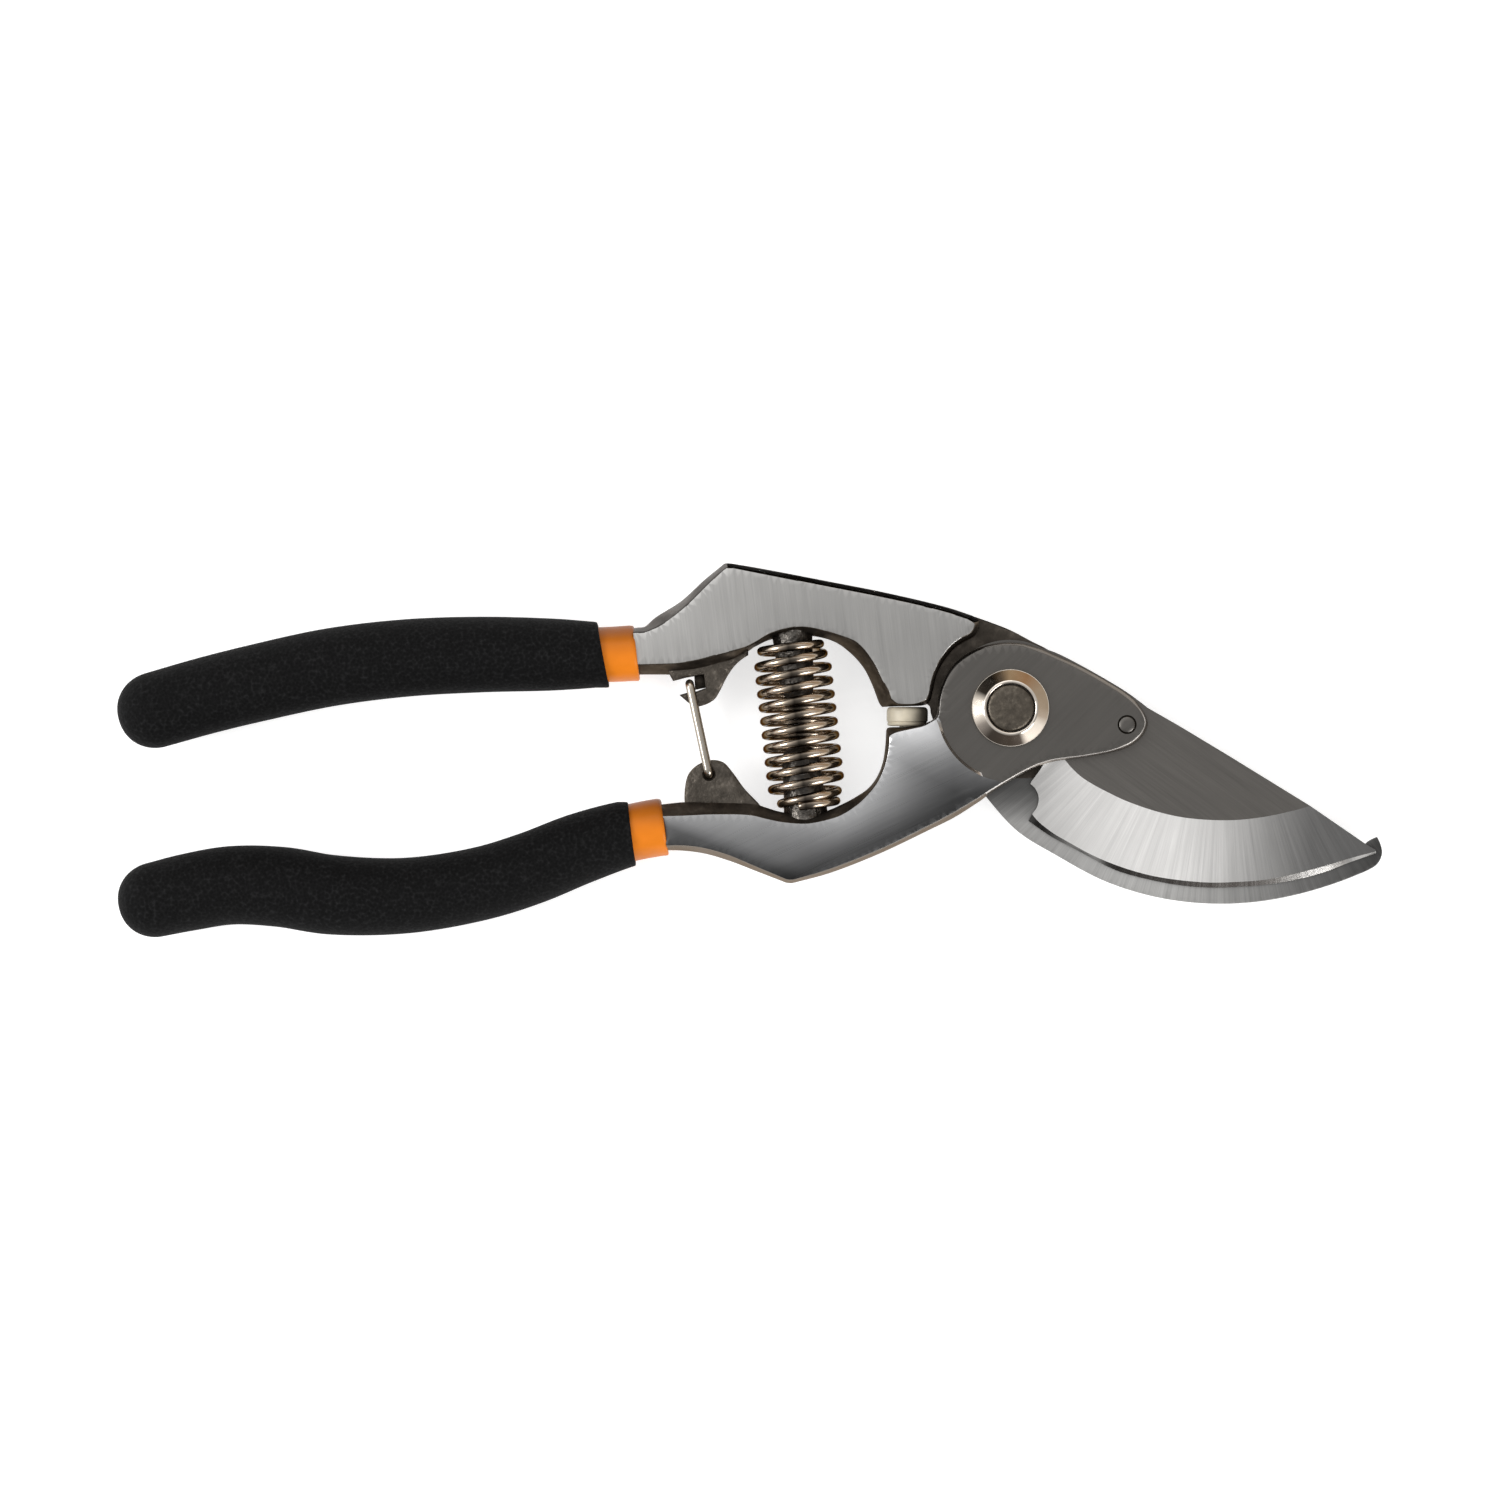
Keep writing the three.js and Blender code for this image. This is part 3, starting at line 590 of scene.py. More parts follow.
# Painted reflection: across the coil the wire is made light either side of the axis and dark along its middle
# and outer sides, and its grazing tint paints shade on its sides.
COIL_ACROSS = (0.994, 0.11, 0)
SPRING_WIRE = polished(
    "spring_wire", (0.44, 0.365, 0.29), rough=0.15,
    fades=[(COIL_ACROSS, -43.8, -30.0,
            (0.34, 0.52, 0.90, 1.25, 1.2, 0.55, 0.12, 0.30, 0.95, 1.25, 1.25, 0.95, 0.52, 0.34))],
    grazing=(0.26, 0.20, 0.15),
)
LATCH_STEEL = polished("latch_wire", (0.44, 0.40, 0.345), rough=0.16, grazing=(0.35, 0.30, 0.25))
BRONZE = polished("bushing_bronze", (0.42, 0.30, 0.16), rough=0.3)
# Painted shade: the bumper is made darker toward its right end.
CREAM = moulded_nylon("cream_nylon", (0.58, 0.52, 0.40),
                      fades=[(ALONG_X, -21.5, -14.3, (0.75, 1.0, 1.0, 0.95, 0.80, 0.45, 0.15, 0.10))])
# The collars' upper edges lie in shade; the stops run up from the lower collar to the upper one.
ORANGE = glossy_vinyl(
    "orange_vinyl", (0.72, 0.20, 0.012),
    fades=[(ALONG_Y, -26.5, 15.2, (0.70, 0.98, 0.95, 0.82, 0.56, 0.32, 0.9, 0.9, 0.9, 0.9, 0.9, 0.9, 0.9, 0.9,
                                   0.9, 1.08, 1.08, 0.94, 0.76, 0.42, 0.28))],
)
BLACK = pebbled_vinyl("black_vinyl", (0.0056, 0.0056, 0.0058))


# ---------------------------------------------------------------- upper handle with the hook

# Each row is a point of the silhouette and the point of the flat face's edge beside it.
UPPER_BACK_EDGE = [
    (-65.95, 14.05, -65.9, 13.0), (-65.2, 14.15, -65.0, 13.05), (-64, 14.3, -63.6, 13.2),
    (-62.1, 15.9, -60.9, 14.5), (-57.7, 18.7, -56.9, 17.5), (-53.4, 22.6, -52.5, 21.8),
    (-50.6, 24.9, -50.5, 23.7),
]
UPPER_CREST = [
    (-50.6, 24.9, -50.5, 23.7), (-49.9, 25.4, -49.7, 24.3), (-48.8, 25.4, -48.4, 24.4),
]
UPPER_TOP = [
    (-48.8, 25.4, -48.4, 24.4), (-44.6, 24.7, -44.4, 23.6), (-31.5, 22.2, -31.7, 21.1),
    (-22.8, 20.5, -23, 19.4), (-14, 18.5, -14.4, 17.5), (-9.6, 17.3, -10, 16.3),
    (-6.4, 16.2, -7.5, 15.5),
]
UPPER_ROOM_WALL = [
    (-6.4, 16.2, -7.5, 15.5), (-5.3, 15.3, -6.4, 14.8), (-5.4, 13.9, -6.4, 14.1), (-6.2, 12.6, -7.1, 13.1),
    (-8, 11.6, -8.6, 12.35), (-9.6, 10.5, -10.2, 11.2), (-11.4, 8.3, -12.1, 8.9), (-12.7, 5.9, -13.4, 6.3),
    (-13.3, 3.5, -14, 4.2), (-13.7, 1.7, -14.25, 2.7),
]
UPPER_NOSE = [
    (-13.7, 1.7, -14.25, 2.7), (-14.25, 0.8, -14.8, 1.55), (-15.3, 0.45, -16.2, 0.88),
    (-17.6, 0.35, -18.2, 0.7), (-20.0, 0.3, -19.7, 0.9), (-22.3, 0.2, -20.8, 1.75),
]
UPPER_ARCH = [
    (-22.3, 0.2, -20.8, 1.75), (-22.8, 0.9, -21.2, 3.0), (-24, 4, -22.3, 5), (-25.5, 7, -23.8, 8),
    (-28, 9.8, -26.5, 11.3), (-31, 11.8, -30.2, 12.9), (-36.5, 12.8, -36.4, 14.3), (-42, 12, -41.8, 13.2),
    (-44.8, 10.7, -44.4, 11.7),
]
UPPER_UNDERSIDE = [
    (-44.8, 10.7, -44.4, 11.7), (-46.4, 9.5, -46.2, 10.8), (-48.3, 7.9, -48.5, 10.1),
    (-51, 7.1, -51.3, 9.4), (-54.5, 6.2, -54.6, 8.5), (-58, 5.9, -58, 7.95), (-61, 5.9, -61, 7.8),
    (-65.1, 5.9, -65.2, 7.7),
]
HOOK_INNER = [
    (-6.4, 16.2, -7.5, 15.5), (-3, 15.0, -3.4, 14.4), (0.5, 13.6, 0.1, 13), (4, 11.75, 3.6, 11.2),
    (7, 10.2, 6.6, 9.7), (10, 7.8, 9.5, 7.4), (12, 4.5, 11.5, 4.2), (12.9, 0, 12.4, 0),
    (13.3, -5.5, 12.8, -5.5), (15.3, -12, 14.8, -12.2), (19.5, -18.5, 19, -18.9),
    (25.5, -23.5, 25.2, -24), (33, -26.6, 32.8, -27.1), (42, -27.6, 42, -28.1), (50, -27.3, 50, -27.8),
    (57, -26.2, 57.2, -26.7), (62.3, -24.0, 62.7, -24.4),
]
HOOK_TIP = [(62.3, -24.0, 62.7, -24.4), (63.4, -23.2, 63.6, -23.6), (64.7, -22.6, 64.6, -23.0)]
HOOK_OUTER = [
    (64.7, -22.6, 64.6, -23.0), (65.3, -23.9, 65.0, -24.0), (65.55, -25.6, 65.2, -25.7),
    (64.7, -27.4, 64.5, -27.1), (60.4, -29.6, 60.2, -29.2), (51.6, -32.5, 51.5, -32.1),
    (42.9, -34.1, 42.8, -33.7), (34.1, -34.3, 34.1, -33.9), (25.4, -33.1, 25.5, -32.7),
    (16.6, -30.3, 16.8, -29.9), (7.5, -25.4, 7.8, -25.1), (2.8, -22.6, 3.1, -22.3),
    (0, -20.2, 0.3, -19.9), (-4, -15.6, -3.7, -15.3), (-9, -9.3, -8.7, -9), (-11.7, -5.2, -11.3, -5.1),
    (-13.1, -2.7, -12.7, -2.7), (-13.7, -1, -13.35, -1),
]
HOOK_TO_NOSE = [(-13.7, -1, -13.35, -1), (-13.95, 0.3, -13.9, 0.9), (-14.4, 0.7, -15.0, 1.45)]

UPPER_LUG = [
    [(-45.8, 9.3), (-46.9, 8.6), (-48.3, 7.3), (-49.7, 5.2), (-50.75, 3.1), (-51.8, 1.5), (-53.5, 0.55),
     (-55, 0.3), (-56.4, 1.0)],
    [(-56.4, 1.0), (-57.9, 2.3), (-56.7, 2.65), (-55, 2.9), (-53.3, 3.5), (-53.6, 5.9), (-56.7, 5.35),
     (-59, 4.75), (-59.9, 6.4), (-60, 8), (-45.8, 10.5)],
]
NOTCH_POCKET = [(-55.15, 3.2), (-53.2, 3.6), (-53.6, 5.9), (-55.3, 5.6)]

DRAFT = 5  # rings up each drafted side


def side(low, high, fillet, power=1.15):
    """Rings from a silhouette at low to a flat face at high, with a rounded edge."""
    rise = high - low
    towards = math.copysign(fillet, rise)
    rings = []
    for k in range(DRAFT + 1):
        share = k / DRAFT
        rings.append((low + (rise - towards) * share ** (1 / power), share, -fillet * 0.9 * share))
    rounding = [(high - towards * 0.45, 1, -fillet * 0.62), (high - towards * 0.12, 1, -fillet * 0.25)]
    return rings + rounding + [(high, 1, 0)]


def bed(ring_side):
    """The same rings the other way round, for a face that looks down."""
    return ring_side[::-1]


def circle(centre, radius, count=28):
    turn = np.linspace(0, 2 * np.pi, count, endpoint=False)
    return np.column_stack([centre[0] + radius * np.cos(turn), centre[1] + radius * np.sin(turn)])


def lug(outline, name, low=LUG_BACK, high=LUG_TOP, edge=0.45, hole=None, radius=0.85, sink=0.35):
    """A plate with rounded edges and, if asked, a countersunk hole from each side."""
    shell = Shell()
    pairs = inset(outline, edge)
    section = [(low, 1, 0), (low + edge * 0.3, 0.3, 0), (low + edge, 0, 0)]
    section += [(high - edge, 0, 0), (high - edge * 0.3, 0.3, 0), (high, 1, 0)]
    if hole is None:
        forged(shell, pairs, section)
        return shell.make(name, 40)
    rings = stack(pairs, section)
    shell.bridge(rings)
    mouth = circle(hole, radius + sink)
    closed_mouth = np.vstack([mouth, mouth[:1]])
    first = len(shell.faces)
    shell.fill(rings[0], level(low), lines=[closed_mouth])
    shell.fill(rings[-1], level(high), lines=[closed_mouth])
    places = np.vstack(shell.points)[:, :2]
    cut = radius + sink - 0.05
    shell.faces[first:] = [
        face for face in shell.faces[first:] if np.hypot(*(places[list(face)].mean(0) - hole)) > cut
    ]
    throat = circle(hole, radius)
    for cap, inward in ((low, 1), (high, -1)):
        floor = cap + inward * (high - low) * 0.4
        steps = [(mouth, cap), (throat, cap + inward * sink), (throat, floor)]
        ends = [np.column_stack([ring, np.full(len(ring), float(z))]) for ring, z in steps]
        shell.bridge(ends)
        shell.fan(ends[-1], ends[-1].mean(0))
    return shell.make(name, 40)


def cast_zones(piece):
    """0 for the flat faces and 1 for the edges."""
    return np.where(np.abs(faces_of(piece)[1][:, 2]) > 0.9, 0, 1)


def peg(shell, start, toward, reach, base=3.5, tip=2.7, seed=3):
    """A rough cast peg on the spring's axis, with an uneven rounded tip."""
    start, toward = np.array([*start, MIDDLE]), np.array([*toward, MIDDLE])
    along = (toward - start) / np.linalg.norm(toward - start)
    across = np.array([-along[1], along[0], 0])
    up = np.array([0.0, 0, 1])
    chance = np.random.default_rng(seed)
    turn = np.linspace(0, 2 * np.pi, 40, endpoint=False)
    lumps = sum(
        chance.uniform(0.02, 0.07) * np.sin(k * turn + chance.uniform(0, 6.3)) for k in range(2, 8)
    )
    rings = []
    for t in np.linspace(-0.25, 1, 16):
        size = base + (tip - base) * max(t, 0)
        if t > 0.85:
            size *= math.sqrt(max(1 - ((t - 0.85) / 0.16) ** 2, 0.02))
        wobble = lumps * (1 + 0.6 * math.sin(9 * t + seed))
        radius = (size + wobble)[:, None]
        around = np.outer(np.cos(turn), across) + np.outer(np.sin(turn), up)
        rings.append(start + along * reach * t + radius * around)
    shell.bridge(rings)
    shell.fan(rings[0], rings[0].mean(0))
    shell.fan(rings[-1], rings[-1].mean(0) + along * 0.15)


SPRING_TOP = np.array([-38.4, 11.15])
SPRING_BOTTOM = np.array([-35.35, -16.35])
# Along the coil: turns of wire, share of the way down the axis, radius of the coil.
COIL_STAGES = [
    (-0.06, 0.0145, 5.16), (0, 0.015, 5.16), (0.5, 0.019, 5.2), (1, 0.0797, 5.62), (1.5, 0.1218, 6.08),
    (10.5, 0.904, 6.08), (11, 0.955, 5.4), (11.5, 1.0, 4.6), (12, 1.017, 5.0), (12.3, 1.024, 5.0),
]


CREST_X = -49.5  # where the upper handle's back edge turns into its long top


def flank_zones(piece, level_above):
    """0 for the flat face, 2 for the long top flank, painted in shade, 3 for the edge behind it, with its own
    painted light, and 1 for the other flanks.
    """
    centres, normals = faces_of(piece)
    zone = np.where((normals[:, 2] > 0.9) & (centres[:, 2] > level_above), 0, 1)
    top = (normals[:, 1] > 0.35) & (centres[:, 0] > CREST_X) & (centres[:, 1] > 15)
    zone[top & (zone == 1)] = 2
    zone[(zone == 1) & (normals[:, 1] > 0.35) & (centres[:, 0] < CREST_X) & (centres[:, 1] > 13)] = 3
    return zone


def upper_handle():
    wall = curve(UPPER_ROOM_WALL, spacing=0.3)
    nose = curve(UPPER_NOSE, spacing=0.3)
    shared = [curve(UPPER_BACK_EDGE), curve(UPPER_CREST, spacing=0.25), curve(UPPER_TOP)]
    under = [curve(UPPER_ARCH), curve(UPPER_UNDERSIDE)]

    front = Shell()
    front_pairs = joined(*shared, wall, nose, *under)
    crown = 0.12
    land = front_pairs[:, 2:]

    def front_face(xy):
        depth = np.clip(distance(xy, land, closed=True) / 5, 0, 1)
        return FRONT + crown * (1 - (1 - depth) ** 2)

    section = [(HOOK_TOP - 0.2, 0, 0.5), (HOOK_TOP - 0.02, 0, 0)] + side(MIDDLE, FRONT, 0.28)
    forged(front, front_pairs, section, high=front_face)
    yoke = front.make("upper_handle_yoke")
    paint(yoke, [LAND, FLANK, SHADED_TOP_FLANK, UPPER_EDGE], flank_zones(yoke, FRONT - 0.5))
    weighted(yoke)

    back = Shell()
    back_pairs = joined(
        *shared, curve(HOOK_INNER, spacing=0.5), curve(HOOK_TIP, spacing=0.3), curve(HOOK_OUTER, spacing=0.5),
        curve(HOOK_TO_NOSE, spacing=0.3), nose[np.argmin(nose[:, 0] > HOOK_TO_NOSE[-1][0]):], *under,
    )
    edge = 0.16
    section = bed(side(HOOK_TOP - edge, BACK, 0.28))
    section += [(HOOK_TOP - edge * 0.3, 0, edge * 0.3), (HOOK_TOP, 0, edge)]
    forged(back, back_pairs, section)
    plate = back.make("upper_handle_hook_plate")
    centres, normals = faces_of(plate)
    hook = (centres[:, 0] > -6) & (centres[:, 1] < -12.5)
    up, down = normals[:, 2] > 0.8, normals[:, 2] < -0.9
    zone = np.where(down, 0, 1)
    # The top of the hook plate's edge gets the same painted shade as the handle's top flank.
    zone[(normals[:, 1] > 0.35) & (centres[:, 0] > CREST_X) & (centres[:, 0] < 0) & (centres[:, 1] > 12)] = 3
    zone[up & hook] = 2
    zone[~up & ~down & (centres[:, 0] > 2)] = 2
    paint(plate, [LAND, FLANK, HOOK_FACE, SHADED_TOP_FLANK], zone)
    weighted(plate)

    outline = joined(curve(UPPER_LUG[0], spacing=0.3), np.array(UPPER_LUG[1], float))
    web = lug(outline, "upper_latch_lug", edge=0.35)
    paint(web, [CAST, FLANK], cast_zones(web))
    pocket = lug(np.array(NOTCH_POCKET), "upper_notch_ledge", LUG_BACK + 0.1, LUG_BACK + 1.2, 0.15)
    paint(pocket, [FLANK])

    pegs = Shell()
    peg(pegs, SPRING_TOP + (0.3, 1.8), SPRING_BOTTOM, 11.6)
    upper_peg = pegs.make("upper_spring_peg", 60)
    paint(upper_peg, [PEG_CAST])

    place(plate, "hook_handle", "forged_steel", "hook_handle")
    for piece in (yoke, web, pocket, upper_peg):
        place(piece, "hook_handle", "forged_steel")


upper_handle()


# ---------------------------------------------------------------- lower handle with the carrier

LOWER_TOP = [
    (-61.1, -16.9, -60.9, -19), (-57, -16.5, -57, -18.9), (-52.5, -16.6, -52.5, -18.7),
    (-47.5, -16.7, -47.5, -18.7), (-44.5, -16.9, -45, -18.9), (-42.5, -17.5, -42.5, -19.5),
    (-40.5, -18.1, -40, -20), (-36, -18.8, -35.6, -20.3), (-32, -18.0, -32.3, -19.7),
    (-29, -16.7, -29.6, -18.8), (-26.8, -15.5, -27.2, -17.3), (-24.8, -14.1, -25, -15.3),
    (-23.3, -12.2, -23.1, -12.9), (-22.3, -9.8, -21.8, -10), (-21.8, -7, -21.2, -7.3),
    (-21.6, -3.9, -21.1, -5),
]
SHOULDER = [
    (-21.6, -3.9, -21.1, -5), (-21.3, -3.45, -20.3, -4.5), (-17.5, -3.3, -17.5, -3.8),
    (-15, -2.8, -15, -3.2), (-13.9, -2.3, -13.7, -2.5),
]
CARRIER_LEFT = [(-13.9, -2.3, -13.7, -2.5), (-13.1, -1.7, -12.8, -1.9), (-12.7, -0.9, -12.3, -1)]
CARRIER = [
    (-12.7, -0.9, -12.3, -1), (-12.4, 2, -12.0, 1.9), (-11.4, 5, -11.0, 4.9), (-9.7, 7.7, -9.35, 7.35),
    (-7.5, 9.5, -7.2, 9), (-5, 10.7, -4.8, 10.2), (-2, 11.35, -1.9, 10.8), (0, 11.45, 0, 10.9),
    (2.5, 11.2, 2.3, 10.6), (5, 10.45, 4.7, 9.8), (7.5, 9.45, 7.2, 8.8), (12.5, 7.15, 12.1, 6.5),
    (17.5, 4.35, 17.1, 3.7), (20, 2.8, 19.5, 2.2), (22, 1.2, 21.4, 0.7), (23.4, -0.7, 22.8, -0.9),
    (24.15, -2.6, 23.4, -2.6), (23.5, -4.5, 22.9, -4.1), (22, -6, 21.6, -5.5), (20, -7.1, 19.8, -6.5),
    (17.5, -7.8, 17.4, -7.3), (12.5, -8.65, 12.4, -8.2), (10, -9, 9.9, -8.5), (7.5, -9.4, 7.3, -8.9),
    (5, -10.2, 4.7, -9.7), (2.5, -11.4, 2.2, -10.9), (0, -12.8, -0.3, -12.3),
    (-2.5, -14.3, -2.8, -13.8), (-5.2, -16.3, -5.6, -15.6),
]
LOWER_BOTTOM = [
    (-5.2, -16.3, -5.6, -15.6), (-9.6, -19.1, -10, -18.2), (-14, -21.3, -14.4, -20.5),
    (-22.8, -25.5, -23.1, -24.7), (-31.5, -28.9, -31.8, -28.1), (-37.5, -30.55, -37.6, -29.8),
]
LOWER_KNEE = [(-37.5, -30.55, -37.6, -29.8), (-38.4, -30.7, -38.4, -29.9), (-39.2, -30.6, -39.2, -29.8)]
LOWER_HEEL = [
    (-39.2, -30.6, -39.2, -29.8), (-44.6, -28.5, -45, -27.4), (-49, -26.8, -49.6, -25.5),
    (-53.4, -25.5, -54, -24.3), (-57, -25, -57, -23.9), (-60.0, -24.9, -60.1, -23.9),
]
HOOK_ROOM_WALL = [
    (-13.9, -2.3, -14.5, -2.6), (-13.7, -4, -14.3, -4), (-13.5, -8, -14.1, -8), (-12.8, -13, -13.4, -13.2),
    (-11.8, -17.5, -12.4, -17.7), (-11.4, -20.05, -12.0, -19.5),
]
LOWER_LUG = [
    [(-56.9, -18), (-56.95, -14.5), (-56.3, -11.6), (-54.6, -9.9), (-52.3, -9.1), (-50.2, -9.5),
     (-48.6, -11.2), (-46.5, -14.1), (-44.2, -16.5), (-42.6, -18.4)],
    [(-42.6, -18.4), (-43, -20), (-56.9, -20)],
]
FACET_RADIUS = 12.4
CROWN_SLOPE = 0.27


def lower_handle():
    edges = [curve(LOWER_TOP), curve(SHOULDER, spacing=0.3)]
    bottom = [curve(LOWER_BOTTOM), curve(LOWER_KNEE, spacing=0.25), curve(LOWER_HEEL)]

    front = Shell()
    pairs = joined(*edges, curve(CARRIER_LEFT, spacing=0.3), curve(CARRIER, spacing=0.35), *bottom)
    land = pairs[:, 2:]

    top_edge = np.vstack(edges)[:, 2:]
    bottom_edge = np.vstack(bottom)[:, 2:]

    def front_face(xy):
        """Flat round the pivot, crowned along the body."""
        above, below = distance(xy, top_edge), distance(xy, bottom_edge)
        crown = CROWN_SLOPE * above * below / np.maximum(above + below, 1e-6)
        reach = np.hypot(xy[:, 0], xy[:, 1])
        body = np.clip((reach - FACET_RADIUS) / 0.5, 0, 1) * np.clip((-3 - xy[:, 0]) / 5, 0, 1)
        return FRONT + crown * body

    section = [(CARRIER_BACK, 0, 0.12), (CARRIER_BACK + 0.12, 0, 0)] + side(CARRIER_BACK + 0.3, FRONT, 0.3)
    facet = arc(FACET_RADIUS, 184, 258)
    facet_foot = arc(FACET_RADIUS + 0.5, 184, 258)
    facet = facet[inside(facet, land) & (distance(facet, land, closed=True) > 0.6)]
    facet_foot = facet_foot[inside(facet_foot, land) & (distance(facet_foot, land, closed=True) > 0.6)]
    forged(front, pairs, section, high=front_face, lines=[facet, facet_foot])
    body = front.make("lower_handle_front")
    centres, normals = faces_of(body)
    reach = np.hypot(centres[:, 0], centres[:, 1])
    up = (normals[:, 2] > 0.8) & (centres[:, 2] > FRONT - 0.2)
    flat = (reach < FACET_RADIUS + 0.05) | (centres[:, 0] > 0)
    # Painted shade: the dark steel also covers the facet's sloping foot on the near side, where it would show
    # a bright reflection.
    flat |= (centres[:, 0] > -8) & (reach < FACET_RADIUS + 0.55)
    zone = np.where(up, np.where(flat, 0, 1), np.where((centres[:, 0] > -14) & (centres[:, 2] > 10), 2, 3))
    bottom_side = (normals[:, 1] < -0.3) & (distance(centres[:, :2], bottom_edge) < 1.5)
    zone[bottom_side & ~up] = 4
    paint(body, [CARRIER_FACE, LOWER_BODY, CARRIER_RIM, FLANK, LOWER_EDGE], zone)
    weighted(body)

    back = Shell()
    foot = HOOK_ROOM_WALL[-1][0]
    pairs = joined(*edges, curve(HOOK_ROOM_WALL), *[part[part[:, 0] < foot] for part in bottom])
    section = bed(side(MIDDLE, BACK, 0.28)) + [(CARRIER_BACK, 0, 0), (CARRIER_BACK + 0.2, 0, 0.5)]
    forged(back, pairs, section)
    rear = back.make("lower_handle_back")
    centres, normals = faces_of(rear)
    zone = np.where(normals[:, 2] < -0.9, 0, 1)
    zone[(normals[:, 1] < -0.3) & (distance(centres[:, :2], bottom_edge) < 1.5) & (zone == 1)] = 2
    paint(rear, [LOWER_BACK, FLANK, LOWER_EDGE], zone)
    weighted(rear)

    outline = joined(curve(LOWER_LUG[0], spacing=0.3), np.array(LOWER_LUG[1], float))
    web = lug(outline, "lower_latch_lug", edge=0.55, hole=LATCH_HINGE)
    paint(web, [CAST, FLANK], cast_zones(web))
    pegs = Shell()
    peg(pegs, SPRING_BOTTOM + (-0.3, -2.4), SPRING_TOP, 12.3, base=3.8, tip=3.1, seed=8)
    lower_peg = pegs.make("lower_spring_peg", 60)
    paint(lower_peg, [PEG_CAST])

    place(body, "blade_handle", "satin_steel", "blade_handle")
    for piece in (rear, web, lower_peg):
        place(piece, "blade_handle", "satin_steel")


lower_handle()


# ---------------------------------------------------------------- blade

BEVEL_TOP = [
    (6.2, -9.4), (8.4, -8.2), (9.5, -8.9), (10.7, -10.3), (12.5, -12), (15, -13.6), (17.5, -14.9),
    (20, -16.1), (25, -17.9), (30, -19.1), (35, -19.6), (40, -19.6), (45, -19), (50, -17.9),
    (52.7, -17.15),
]
MICRO_TOP = [
    (4, -18.6), (5, -19.8), (7.5, -21.8), (10, -23.3), (15, -26), (20, -28), (25, -29.4), (30, -30.2),
    (35, -30.6), (40, -30.5), (45, -30.1), (50, -29.1), (55, -27.8), (60, -26.3), (64.34, -25.15),
]
CUTTING_EDGE = [
    (3.4, -19.8), (7.5, -22.6), (12.5, -25.2), (17.5, -27.9), (20, -28.9), (25, -30.2), (30, -31.1),
    (35, -31.5), (40, -31.4), (45, -31), (50, -30.2), (55, -28.9), (60, -27), (63.2, -25.9),
    (64.4, -25.5),
]
SPINE = [(52.7, -17.15), (38.5, -8.4), (29.7, -3.1), (24.2, 0.05)]
SPINE_TIP = [(52.7, -17.15), (62.4, -23.75), (64.3, -24.9)]
BLADE_TOP_EDGE = [(24.2, 0.05), (22.2, 1.6), (20, 3.15), (12.5, 7.5), (8, 9.75), (5.6, 10.55)]
HEEL = [(6.2, -9.4), (5.5, -10.6), (4.5, -12.0), (3.6, -13.2)]
NOTCH = [(3.6, -13.2), (4.6, -14.2), (5.15, -15.7), (4.85, -17.4), (4, -18.6)]


def resampled(line, count):
    """The same line through evenly spaced points."""
    line = np.asarray(line, float)
    run = np.concatenate([[0], np.cumsum(np.linalg.norm(np.diff(line, axis=0), axis=1))])
    where = np.linspace(0, run[-1], count)
    return np.column_stack([np.interp(where, run, line[:, k]) for k in range(2)])


def raised(points, height):
    return np.column_stack([points, np.broadcast_to(height, len(points)).astype(float)])


